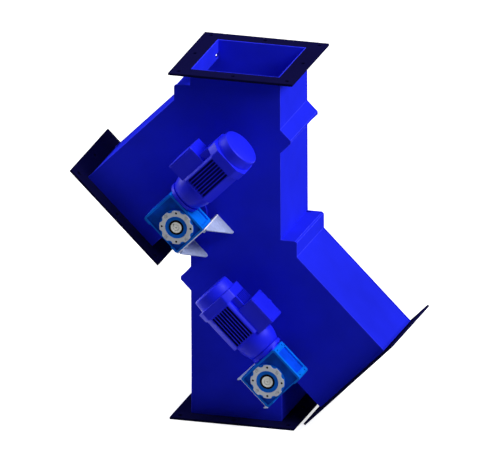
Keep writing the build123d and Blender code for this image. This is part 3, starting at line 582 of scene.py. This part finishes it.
def dress(piece, slot):
    """Give a piece its finish, and for its rounded edges the lighter painted highlight where there is one,
    unless it has its own.
    """
    if not piece.data.materials:
        piece.data.materials.append(FINISH[slot])
        piece.data.materials.append(PAINTED_EDGE_HIGHLIGHT.get(slot, FINISH[slot]))


# Places of the two stages, taken from their flap shafts

GEAR_MIDDLE = -205.0  # middle of the gearbox across its width
GEAR_FRONT = -244.0
MOTOR_RISE = 40.0  # output axis to motor axis
STAGES = ("upper", "lower")


def stage_place(stage, along_drive=True):
    """Matrix from a left-hand stage, with its shaft as origin, to the stage's own place."""
    low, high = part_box(f"{stage}_flap_shaft")
    pivot = Vector(((low.x + high.x) / 2, 0, (low.z + high.z) / 2))
    place = Matrix.Translation(pivot)
    if pivot.x > 0:
        place = place @ Matrix.Scale(-1, 4, (1, 0, 0))
    if along_drive:
        place = place @ Matrix.Rotation(math.radians(-45), 4, "Y")
    return place


def fit(piece, slot, body, *nodes, along_drive=True):
    """Put a copy of a piece on each stage, riding on its body and standing for its nodes."""
    dress(piece, slot)
    for stage in STAGES:
        copy = bpy.data.objects.new(f"{stage}_{piece.name}", piece.data.copy())
        bpy.context.scene.collection.objects.link(copy)
        copy.data.transform(stage_place(stage, along_drive))
        with edited(copy):
            bpy.ops.mesh.select_all(action="SELECT")
            bpy.ops.mesh.normals_make_consistent(inside=False)
        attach(copy, body.format(stage=stage))
        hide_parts(*[node.format(stage=stage) for node in nodes])
    bpy.data.objects.remove(piece)


def front_and_rear(piece):
    """A piece of the gearbox's front face joined with its twin on the rear face."""
    twin = bpy.data.objects.new(piece.name + "_rear", piece.data.copy())
    bpy.context.scene.collection.objects.link(twin)
    middle = Matrix.Translation((0, GEAR_MIDDLE * MM, 0))
    twin.data.transform(middle @ Matrix.Scale(-1, 4, (0, 1, 0)) @ middle.inverted())
    return joined([piece, twin])


# Worm gearbox

COVER_SCREW_REACH = 37.5
COVER_RADIUS = 43.5
CHAMBER_RADIUS = 33.5


def around(reach, count, first=0.0):
    """Places on a circle about the output axis, as X and Z."""
    angles = [first + 2 * math.pi * i / count for i in range(count)]
    return [(reach * math.cos(angle), reach * math.sin(angle)) for angle in angles]


HOUSING_HALF = 50.0
HOUSING_TOP = 71.5


def gearbox_housing():
    """Cast cube: recessed side panels round a boss, a pocket in the far face, lugs on the free end."""
    front, back = GEAR_MIDDLE - 35.5, GEAR_MIDDLE + 35.5
    body = block(
        "housing_casting", (-HOUSING_HALF, front, -HOUSING_HALF), (HOUSING_HALF, back, HOUSING_TOP)
    )
    with edited(body):
        pick(body, "EDGE", lambda place, way: abs(way.y) > 0.9)
        bpy.ops.mesh.bevel(offset=6 * MM, segments=7, affect="EDGES")
    for inner, outer in ((front + 4.5, front - SPARE), (back - 4.5, back + SPARE)):
        panel = block("panel", (-45, min(inner, outer), -45), (45, max(inner, outer), 66.5))
        with edited(panel):
            pick(panel, "EDGE", lambda place, way: abs(way.y) > 0.9)
            bpy.ops.mesh.bevel(offset=3 * MM, segments=3, affect="EDGES")
        boss = rod("boss", "Y", (0, 0, 0), 44.5, min(inner, outer) - 1, max(inner, outer) + 1, 96)
        shape_with(body, [shape_with(panel, [boss])])
    far_pocket = block("far_pocket", (-34, front + 7.75, 67), (34, back - 7.75, HOUSING_TOP + SPARE))
    with edited(far_pocket):
        pick(far_pocket, "EDGE", lambda place, way: abs(way.z) > 0.9)
        bpy.ops.mesh.bevel(offset=4 * MM, segments=3, affect="EDGES")
    end_relief = block("end_relief", (-HOUSING_HALF - SPARE, front - SPARE, -28), (-47.5, back + SPARE, 49.5))
    end_pocket = block("end_pocket", (-HOUSING_HALF - SPARE, front + 10, -23), (-43, back - 10, 44.5))
    motor_pocket = block("motor_pocket", (45.5, front + 8, -41), (HOUSING_HALF + SPARE, back - 8, 2))
    shape_with(body, [far_pocket, end_relief, end_pocket, motor_pocket])
    lug_holes = [
        rod("lug_hole", "Z", (x, GEAR_MIDDLE + y, 0), 2.6, 60, HOUSING_TOP + SPARE, 24)
        for x in (-42, 42)
        for y in (-20, 20)
    ]
    lug_grooves = [
        block("lug_groove", (x - 1, front + 5, 69.5), (x + 1, back - 5, HOUSING_TOP + SPARE))
        for x in (-36.5, 36.5)
    ]
    shape_with(body, [joined(lug_holes), joined(lug_grooves)])
    chamber = rod("chamber", "Y", (0, 0, 0), CHAMBER_RADIUS, front - SPARE, back + SPARE, 96)
    worm_bore = rod("worm_bore", "X", (0, GEAR_MIDDLE, MOTOR_RISE), 14, -40, HOUSING_HALF + SPARE)
    shape_with(body, [chamber, worm_bore])
    ease(body, 1.5, 3)
    body.data.materials.clear()
    for slot_material in (FINISH["gearbox_paint"], PAINTED_EDGE_HIGHLIGHT["gearbox_paint"], GEARBOX_PAINTED_SHADE, POCKET_PAINTED_SHADE):
        body.data.materials.append(slot_material)
    with edited(body):
        # The recessed panels take the darker paint: painted shade
        pick(body, "FACE", shaded_recess_faces)
        body.active_material_index = 2
        bpy.ops.object.material_slot_assign()
        # The far pocket's floor takes the darker paint: painted shade
        pick(body, "FACE", lambda place, way: way.z > 0.9 and 66 < place.z < 68)
        body.active_material_index = 3
        bpy.ops.object.material_slot_assign()
    return body


def shaded_recess_faces(place, way):
    """Faces that lie deeper than the housing's rims; they take the painted shade."""
    deep_side = 28 < abs(place.y - GEAR_MIDDLE) < 32 and abs(way.y) > 0.9
    deep_end = way.x < -0.9 and place.x > -44 and place.x < -40
    return deep_side or deep_end


def output_cover():
    """Scalloped ring with four screw seats and, between them, four tapped holes."""
    seat = GEAR_FRONT + 3.5
    cover = rod("output_cover", "Y", (0, 0, 0), COVER_RADIUS, GEAR_FRONT, seat, 128)
    scallops = [
        rod("scallop", "Y", (x, 0, z), 9.5, GEAR_FRONT - SPARE, seat + SPARE, 48)
        for x, z in around(48.6, 8, math.radians(22.5))
    ]
    tapped = [
        rod("tapped_hole", "Y", (x, 0, z), 2.9, GEAR_FRONT - SPARE, GEAR_FRONT + 3.2, 24)
        for x, z in around(COVER_SCREW_REACH, 4, math.radians(45))
    ]
    bore = rod("bore", "Y", (0, 0, 0), 29, GEAR_FRONT - SPARE, seat + SPARE, 96)
    shape_with(cover, [joined(scallops), joined(tapped), bore])
    ease(cover, 0.8, 3, 40)
    spigot = turned(
        "spigot", "Y", (0, 0, 0), [(seat, 29), (seat + 6, 29), (seat + 6, 33.4), (seat, 33.4), (seat, 29)]
    )
    return front_and_rear(joined([cover, spigot]))


def hole_shade_plugs():
    """Black discs just inside the four tapped holes: painted shade for the holes' depth."""
    plugs = [
        ease(rod("hole_shade_plug", "Y", (x, 0, z), 2.75, GEAR_FRONT + 0.7, GEAR_FRONT + 3.1, 24), 0.4, 2)
        for x, z in around(COVER_SCREW_REACH, 4, math.radians(45))
    ]
    whole = joined(plugs)
    whole.name = "hole_shade_plug_set"
    return front_and_rear(whole)


def bearing_cap():
    """Ring between cover and oil seal, with a turned groove."""
    rings = [(-234.5, 18.5), (-242.0, 18.5), (-242.5, 19.0), (-242.5, 22.8), (-241.9, 23.4)]
    rings += [(-241.9, 26.2), (-242.5, 26.8), (-242.5, 28.5), (-242.0, 29.0), (-234.5, 29.0)]
    rings.append(rings[0])
    cap = turned("bearing_cap", "Y", (0, 0, 0), rings, 96)
    return front_and_rear(smooth(cap))


def oil_seal():
    """Rubber ring with a rounded rim and a lip that comes down to the shaft."""
    rings = [(-234.5, 14.6), (-240.6, 14.6), (-242.0, 14.25), (-243.0, 14.35), (-243.3, 14.9)]
    rings += [(-242.7, 15.9), (-242.7, 16.6), (-243.4, 17.4), (-243.5, 18.6), (-243.1, 19.3), (-242.6, 19.4)]
    rings += [(-242.55, 18.45), (-234.5, 18.45), (-234.5, 14.6)]
    seal = turned("oil_seal", "Y", (0, 0, 0), rings, 96)
    return front_and_rear(smooth(seal))


def hex_screw(name, shank, length, washer=True):
    """Hexagon screw along -Z under its seat at Z 0: chamfered head, pressed mark, washer, shank."""
    seat = 0.14 * shank if washer else 0.0
    flats = 1.65 * shank
    head = rod("head", "Z", (0, 0, 0), flats / math.sqrt(3), seat, seat + 0.68 * shank, 6)
    chamfer = rod("chamfer", "Z", (0, 0, 0), flats / 2 * 1.06, seat - 1, seat + 0.68 * shank + 1, 48)
    top = seat + 0.68 * shank
    with edited(chamfer):
        pick(chamfer, "FACE", lambda place, way: way.z > 0.9)
        bpy.ops.transform.resize(value=(0.8, 0.8, 1), center_override=(0, 0, top * MM))
        pick(chamfer, "FACE", lambda place, way: way.z < -0.9)
        bpy.ops.transform.resize(value=(1.12, 1.12, 1), center_override=(0, 0, 0))
    shape_with(head, [chamfer], "INTERSECT")
    with edited(head):
        pick(head, "FACE", lambda place, way: way.z > 0.9)
        bpy.ops.mesh.inset(thickness=0.16 * shank * MM, depth=0)
        bpy.ops.mesh.inset(thickness=0.05 * shank * MM, depth=-0.05 * shank * MM)
    parts = [head]
    if washer:
        parts.append(ease(rod("washer", "Z", (0, 0, 0), 1.05 * shank, 0, seat, 40), 0.3 * seat, 2))
    parts.append(rod("shank", "Z", (0, 0, 0), shank / 2, -length, seat, 24))
    screw = joined(parts)
    screw.name = name
    return smooth(screw)


def set_out(pattern, name, turn, places):
    """Copies of a screw, turned to point its head one way, at several places."""
    copies = []
    for place in places:
        copy = bpy.data.objects.new(name, pattern.data.copy())
        bpy.context.scene.collection.objects.link(copy)
        copy.data.transform(Matrix.Translation(Vector(place) * MM) @ turn)
        copies.append(copy)
    bpy.data.objects.remove(pattern)
    whole = joined(copies)
    whole.name = name
    return whole


HEAD_TO_FRONT = Matrix.Rotation(math.radians(90), 4, "X")
HEAD_TO_GEARBOX = Matrix.Rotation(math.radians(-90), 4, "Y")
HEAD_DOWN = Matrix.Rotation(math.radians(180), 4, "X")


def cover_screws():
    places = [(x, GEAR_FRONT, z) for x, z in around(COVER_SCREW_REACH, 4)]
    return front_and_rear(set_out(hex_screw("screw", 5.1, 12, False), "cover_screw_set", HEAD_TO_FRONT, places))


def adapter_bolts():
    reach = 37.5 / math.sqrt(2)
    places = [(55, GEAR_MIDDLE + y, MOTOR_RISE + z) for y in (-reach, reach) for z in (-reach, reach)]
    return set_out(hex_screw("bolt", 5, 8, False), "adapter_bolt_set", HEAD_TO_GEARBOX, places)


def bracket_bolts():
    places = [(x, GEAR_MIDDLE + y, -53) for x in (-40, 40) for y in (-15.5, 15.5)]
    return set_out(hex_screw("bolt", 6, 13), "bracket_bolt_set", HEAD_DOWN, places)


# Motor


def end_shield():
    """Bell-shaped cast cover between adapter and frame."""
    rings = [(112, 7.1), (63, 7.1), (63, 37.5), (63.6, 39.6), (65.2, 41.6), (68, 43.4), (73, 45.6)]
    rings += [(80, 48.0), (87, 49.8), (93, 50.8), (98, 51), (110.8, 51), (111.6, 50.7), (112, 50.0), (112, 7.1)]
    shield = turned("end_shield", "X", (0, GEAR_MIDDLE, MOTOR_RISE), rings, 96)
    return smooth(shield)


FRAME_HALF = 52.0
FRAME_CHAMFER = 21.0
FIN_PITCH = 8.4
FIN_GAP = 5.4
FIN_DEPTH = 11.0
FIN_START = 116
FIN_END = 208


def motor_frame():
    """Finned frame: octagon with a ledge on its upper corners and a pad under the terminal box."""
    start, end, pad_end = 112, 218, 211.8
    low_y, high_y = GEAR_MIDDLE - FRAME_HALF, GEAR_MIDDLE + FRAME_HALF
    low_z, high_z = MOTOR_RISE - FRAME_HALF, MOTOR_RISE + FRAME_HALF
    frame_body = block("finned_frame", (start, low_y, low_z), (end, high_y, high_z))
    with edited(frame_body):
        pick(frame_body, "EDGE", lambda place, way: abs(way.x) > 0.9)
        bpy.ops.mesh.bevel(offset=FRAME_CHAMFER * MM, segments=1, affect="EDGES")
    ledge = MOTOR_RISE + 37
    over = block(
        "over_ledge", (start - SPARE, low_y - SPARE, ledge), (pad_end, high_y + SPARE, high_z + SPARE)
    )
    pad = block("pad", (start, GEAR_MIDDLE - 36, ledge - 5), (pad_end, GEAR_MIDDLE + 30, MOTOR_RISE + 56))
    shape_with(frame_body, [over])
    shape_with(frame_body, [pad], "UNION")
    grooves = []
    for i in range(7):
        left = (i - 3) * FIN_PITCH - FIN_GAP / 2
        right = left + FIN_GAP
        cuts = [
            ((FIN_START, GEAR_MIDDLE + left, low_z - SPARE), (FIN_END, GEAR_MIDDLE + right, low_z + FIN_DEPTH)),
            ((182, GEAR_MIDDLE + left, high_z - 2), (pad_end + SPARE, GEAR_MIDDLE + right, high_z + 2 * SPARE)),
        ]
        for near, far in ((low_y - SPARE, low_y + FIN_DEPTH), (high_y - FIN_DEPTH, high_y + SPARE)):
            cuts.append(((FIN_START, near, MOTOR_RISE + left), (FIN_END, far, MOTOR_RISE + right)))
        grooves += [block("groove", low, high) for low, high in cuts]
    shape_with(frame_body, [joined(grooves)])
    centre = (0, GEAR_MIDDLE, MOTOR_RISE)
    bore = rod("bore", "X", centre, 37, start - SPARE, 210, 96)
    shaft_hole = rod("shaft_hole", "X", centre, 7.05, 205, end + SPARE, 32)
    shape_with(frame_body, [bore, shaft_hole])
    with edited(frame_body):
        bpy.ops.mesh.select_all(action="SELECT")
        bpy.ops.mesh.remove_doubles(threshold=0.02 * MM)
        bpy.ops.mesh.select_all(action="DESELECT")
        bpy.ops.mesh.select_mode(type="EDGE")
        bpy.ops.mesh.select_non_manifold()
        bpy.ops.mesh.fill_holes(sides=8)
    ease(frame_body, 0.6, 2)
    for finish in (FINISH["motor_paint"], PAINTED_EDGE_HIGHLIGHT["motor_paint"], MOTOR_GROOVE_SHADE):
        frame_body.data.materials.append(finish)
    # The faces between the fins take the dark paint: painted shade
    with edited(frame_body):
        pick(frame_body, "FACE", shaded_groove_faces)
        frame_body.active_material_index = 2
        bpy.ops.object.material_slot_assign()
    return frame_body


def shaded_groove_faces(place, way):
    """Faces between the fins, a little below their tips; they take the painted shade."""
    across_y, across_z = abs(place.y - GEAR_MIDDLE), abs(place.z - MOTOR_RISE)
    depth = FRAME_HALF - max(across_y, across_z)
    beside = min(across_y, across_z) < 29
    return FIN_START <= place.x <= FIN_END and 1.5 < depth < FIN_DEPTH + 0.5 and beside


def fan_cowl():
    """Pressed cowl: octagonal skirt, drawn in to a round cap with a soft end."""
    half, chamfer, wall = 55.0, 21.0, 2.8
    centre = (0, GEAR_MIDDLE, MOTOR_RISE)
    corner_low = (212, GEAR_MIDDLE - half, MOTOR_RISE - half)
    corner_high = (237, GEAR_MIDDLE + half, MOTOR_RISE + half)
    skirt = block("fan_cowl", corner_low, corner_high)
    with edited(skirt):
        pick(skirt, "EDGE", lambda place, way: abs(way.x) > 0.9)
        bpy.ops.mesh.bevel(offset=chamfer * MM, segments=1, affect="EDGES")
        pick(skirt, "EDGE", lambda place, way: abs(way.x) > 0.9)
        bpy.ops.mesh.bevel(offset=3.5 * MM, segments=4, affect="EDGES")
        pick(skirt, "FACE", lambda place, way: way.x < -0.9)
        bpy.ops.mesh.inset(thickness=wall * MM, depth=0)
        bpy.ops.mesh.extrude_region_move(TRANSFORM_OT_translate={"value": (22.2 * MM, 0, 0)})
    rings = [(234.6, 54.6), (237, 53), (238.2, 52.7), (252, 51.7), (261, 50.9), (264, 50.3), (265.6, 49.2)]
    rings += [(266.6, 47.6), (267, 45.6), (267, 6)]
    cap = turned("cap", "X", centre, rings, 96)
    room = turned("room", "X", centre, [(230, 45), (262, 45), (264.2, 43), (264.2, 6)], 96)
    shape_with(skirt, [cap], "UNION")
    shape_with(skirt, [room])
    return ease(skirt, 0.8, 3, 38)


def terminal_lid():
    """Lid with rounded corners and four wells for its screws."""
    back, front, top = GEAR_MIDDLE + 34, GEAR_MIDDLE - 44, MOTOR_RISE + 86
    lid = block("terminal_lid", (102, front, top - 6), (182, back, top))
    with edited(lid):
        pick(lid, "EDGE", lambda place, way: abs(way.z) > 0.9)
        bpy.ops.mesh.bevel(offset=4 * MM, segments=4, affect="EDGES")
        pick(lid, "FACE", lambda place, way: way.z > 0.9)
        bpy.ops.mesh.inset(thickness=2.2 * MM, depth=0)
        bpy.ops.transform.translate(value=(0, 0, 0.01 * MM))
    seats = [(x, y) for x in (109, 175) for y in (front + 7, back - 7)]
    wells = [rod("well", "Z", (x, y, 0), 3.6, top - 1.6, top + SPARE, 32) for x, y in seats]
    shape_with(lid, [joined(wells)])
    ease(lid, 1.2, 3)
    return lid


def lid_screws():
    """Slotted pan heads in the lid's wells."""
    top = MOTOR_RISE + 84.4
    screws = []
    for x, y in [(x, y) for x in (109, 175) for y in (GEAR_MIDDLE - 37, GEAR_MIDDLE + 27)]:
        screw = ease(rod("lid_screw", "Z", (x, y, 0), 2.9, top - 1, top + 1.3, 28), 0.5, 2)
        slot_cut = block("slot", (x - 4, y - 0.4, top + 0.5), (x + 4, y + 0.4, top + 3))
        screws.append(shape_with(screw, [slot_cut]))
    whole = joined(screws)
    whole.name = "lid_screw_set"
    return smooth(whole)


# Bracket under the gearbox

BRACKET_END = -236.0
GUSSET_LOW = -111.0
RIPPLE = 1.6  # spacing of a weld's ripples


def weld_bead(start, end, radius):
    """Rippled bead of weld metal along a seam."""
    start, end = Vector(start), Vector(end)
    length = (end - start).length
    bead = rod("weld_bead", "Z", (0, 0, 0), radius, 0, length, 10)
    with edited(bead):
        pick(bead, "EDGE", lambda place, way: abs(way.z) > 0.9)
        bpy.ops.mesh.subdivide(number_cuts=max(3, int(length / RIPPLE)))
        ring = length / (max(3, int(length / RIPPLE)) + 1)
        pick(bead, "EDGE", lambda place, way: abs(way.z) < 0.1 and round(place.z / ring) % 2 == 0)
        bpy.ops.transform.resize(value=(0.8, 0.8, 1), center_override=(0, 0, 0))
        pick(bead, "FACE", lambda place, way: abs(way.z) > 0.9)
        bpy.ops.transform.resize(value=(0.5, 0.5, 1), center_override=(0, 0, 0))
    turn = (end - start).to_track_quat("Z", "X").to_matrix().to_4x4()
    bead.data.transform(Matrix.Translation(start * MM) @ turn)
    return smooth(bead, math.radians(70))


def gearbox_bracket():
    """Foot plate with two clipped gussets."""
    plate = block("gearbox_bracket", (-50, BRACKET_END, -53), (50, -118, -50))
    holes = [
        rod("hole", "Z", (x, GEAR_MIDDLE + y, 0), 3.05, -53 - SPARE, -50 + SPARE, 32)
        for x in (-40, 40)
        for y in (-15.5, 15.5)
    ]
    shape_with(plate, [joined(holes)])
    ease(plate, 0.6, 2)
    for finish in (FINISH["bracket_steel"], PAINTED_EDGE_HIGHLIGHT["bracket_steel"]):
        plate.data.materials.append(finish)
    # The plate's front and side faces take the painted highlight as well
    with edited(plate):
        pick(plate, "FACE", lambda place, way: way.y < -0.9 or abs(way.x) > 0.9)
        plate.active_material_index = 1
        bpy.ops.object.material_slot_assign()
    parts = [plate]
    for x in (-50, 47):
        gusset = block("gusset", (x, -226, GUSSET_LOW), (x + 3, -118, -53))
        with edited(gusset):
            bpy.ops.mesh.select_all(action="SELECT")
            bpy.ops.mesh.bisect(
                plane_co=Vector((0, -226, -58)) * MM,
                plane_no=(0, -(58.0 - 111.0) / -111.18, -98.0 / 111.18),
                clear_outer=True,
                use_fill=True,
            )
        ease(gusset, 0.4, 2)
        for finish in (FINISH["bracket_steel"], PAINTED_EDGE_HIGHLIGHT["bracket_steel"]):
            gusset.data.materials.append(finish)
        parts.append(gusset)
    return joined(parts)


def bracket_welds():
    """Beads where the gussets meet the foot plate and where the bracket meets the valve."""
    beads = []
    for x in (-46.8, 46.8):
        beads.append(weld_bead((x, -224, -53.2), (x, -120, -53.2), 1.5))
        beads.append(weld_bead((x, -118.4, -55), (x, -118.4, -108), 1.5))
    beads.append(weld_bead((-48, -118.4, -49.8), (48, -118.4, -49.8), 1.6))
    whole = joined(beads)
    whole.name = "bracket_welds"
    return whole


# Copies of CAD solids with eased edges: width of the rounding, and its segments

EASED = {
    "front_plate": (1.2, 2),
    "back_plate": (1.2, 2),
    "left_leg_floor": (0.7, 2),
    "left_wall": (0.7, 2),
    "bottom_right_wall": (0.7, 2),
    "right_leg_floor": (0.7, 2),
    "right_wall": (0.7, 2),
    "crotch_saddles": (0.5, 2),
    "pivot_doublers": (0.6, 2),
    "inlet_flange": (0.6, 2),
    "left_outlet_flange": (0.6, 2),
    "right_outlet_flange": (0.6, 2),
    "bottom_outlet_flange": (0.6, 2),
    "bearing_housings": (1.2, 3),
    "bearing_end_caps": (1.0, 3),
    "motor_adapters": (0.8, 2),
    "terminal_boxes": (0.8, 2),
    "cable_glands": (0.6, 2),
    "upper_flap_blade": (0.5, 2),
    "lower_flap_blade": (0.5, 2),
    "upper_edge_seal": (0.8, 2),
    "lower_edge_seal": (0.8, 2),
    "upper_seal_clamp": (0.4, 2),
    "lower_seal_clamp": (0.4, 2),
    "upper_hollow_shaft": (0.6, 2),
    "lower_hollow_shaft": (0.6, 2),
}


def merged_copy(node, ending):
    """Copy of a CAD solid with its corners merged and its flat faces made whole."""
    piece = bpy.data.objects.new(node + ending, frame["nodes"][node].data.copy())
    piece.data.materials.clear()
    bpy.context.scene.collection.objects.link(piece)
    with edited(piece):
        bpy.ops.mesh.select_all(action="SELECT")
        bpy.ops.mesh.remove_doubles(threshold=0.005 * MM)
        bpy.ops.mesh.dissolve_limited(angle_limit=math.radians(0.4))
    return piece


def stand_in(piece, node, slot, width, segments):
    """Finish a copy, round its edges and put it in the place of its node."""
    dress(piece, slot)
    ease(piece, width, segments)
    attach(piece, BODY_OF[node])
    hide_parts(node)


DUCT_INSIDE = 115  # middle of the duct to the inside of its walls
SHOULDER_RISE = 333.75  # upper pivot to the shoulder's face
RELIEF_WIDTH = 24.0
RELIEF_HEIGHT = 11.0


def bend_reliefs():
    """Cutting shapes for the openings where the inlet neck is bent out into the left shoulder."""
    low, high = SHOULDER_RISE + 0.2, SHOULDER_RISE + RELIEF_HEIGHT
    sides = (
        (-DUCT_INSIDE - SPARE, RELIEF_WIDTH - DUCT_INSIDE),
        (DUCT_INSIDE - RELIEF_WIDTH, DUCT_INSIDE + SPARE),
    )
    relief = joined([block("relief", (-7, near, low), (8, far, high)) for near, far in sides])
    relief.data.transform(stage_place("upper", along_drive=False))
    return relief


def chamfered_shaft(node):
    """Flap shaft with a turned chamfer and a centre hole at its drive end."""
    low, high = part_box(node)
    shaft = merged_copy(node, "_turned")
    end = low.y / MM
    with edited(shaft):
        pick(shaft, "EDGE", lambda place, way: place.y < end + 0.01)
        bpy.ops.mesh.bevel(offset=2.2 * MM, segments=1, affect="EDGES")
    centre = ((low.x + high.x) / 2 / MM, 0, (low.z + high.z) / 2 / MM)
    return shape_with(shaft, [rod("centre_hole", "Y", centre, 2.2, end - SPARE, end + 5, 24)])


# Finishes on the CAD nodes, then the pieces that stand for them

SLOT_OF = {}
for part in frame["record"]["subparts"]:
    solid = frame["nodes"][part["node"]]
    solid.data.materials.clear()
    solid.data.materials.append(FINISH[part["material_slot"]])
    SLOT_OF[part["node"]] = part["material_slot"]
BODY_OF = {node: body for body, nodes in frame["record"]["behaviour"]["bodies"].items() for node in nodes}

for node, (width, segments) in EASED.items():
    # The adapters are painted with the motors
    slot = "motor_paint" if node == "motor_adapters" else SLOT_OF[node]
    stand_in(merged_copy(node, "_eased"), node, slot, width, segments)

left_cover = shape_with(merged_copy("left_leg_cover", "_bent"), [bend_reliefs()])
stand_in(left_cover, "left_leg_cover", SLOT_OF["left_leg_cover"], 0.7, 2)
right_cover = merged_copy("right_leg_cover", "_bent")
stand_in(right_cover, "right_leg_cover", SLOT_OF["right_leg_cover"], 0.7, 2)
for node in ("upper_flap_shaft", "lower_flap_shaft"):
    stand_in(chamfered_shaft(node), node, SLOT_OF[node], 0.4, 2)
fit(gearbox_housing(), "gearbox_paint", "casing", "{stage}_gearbox_housing")
# Black discs in the tapped holes: painted shade
fit(hole_shade_plugs(), "rubber", "casing")
fit(output_cover(), SLOT_OF["output_covers"], "casing", "output_covers")
fit(bearing_cap(), SLOT_OF["bearing_caps"], "casing", "bearing_caps")
fit(oil_seal(), SLOT_OF["oil_seals"], "casing", "oil_seals")
fit(cover_screws(), SLOT_OF["cover_screws"], "casing", "cover_screws")
fit(adapter_bolts(), "motor_paint", "casing", "adapter_bolts")
fit(bracket_bolts(), "bracket_steel", "casing", "bracket_bolts")
fit(motor_frame(), "motor_paint", "casing", "{stage}_motor_frame")
fit(end_shield(), SLOT_OF["motor_end_shields"], "casing", "motor_end_shields")
fit(fan_cowl(), SLOT_OF["fan_cowls"], "casing", "fan_cowls")
fit(terminal_lid(), SLOT_OF["terminal_lids"], "casing", "terminal_lids")
fit(lid_screws(), "motor_paint", "casing")
fit(gearbox_bracket(), SLOT_OF["gearbox_brackets"], "casing", "gearbox_brackets")
fit(bracket_welds(), SLOT_OF["gearbox_brackets"], "casing")

make_camera()
make_light()
make_floor()
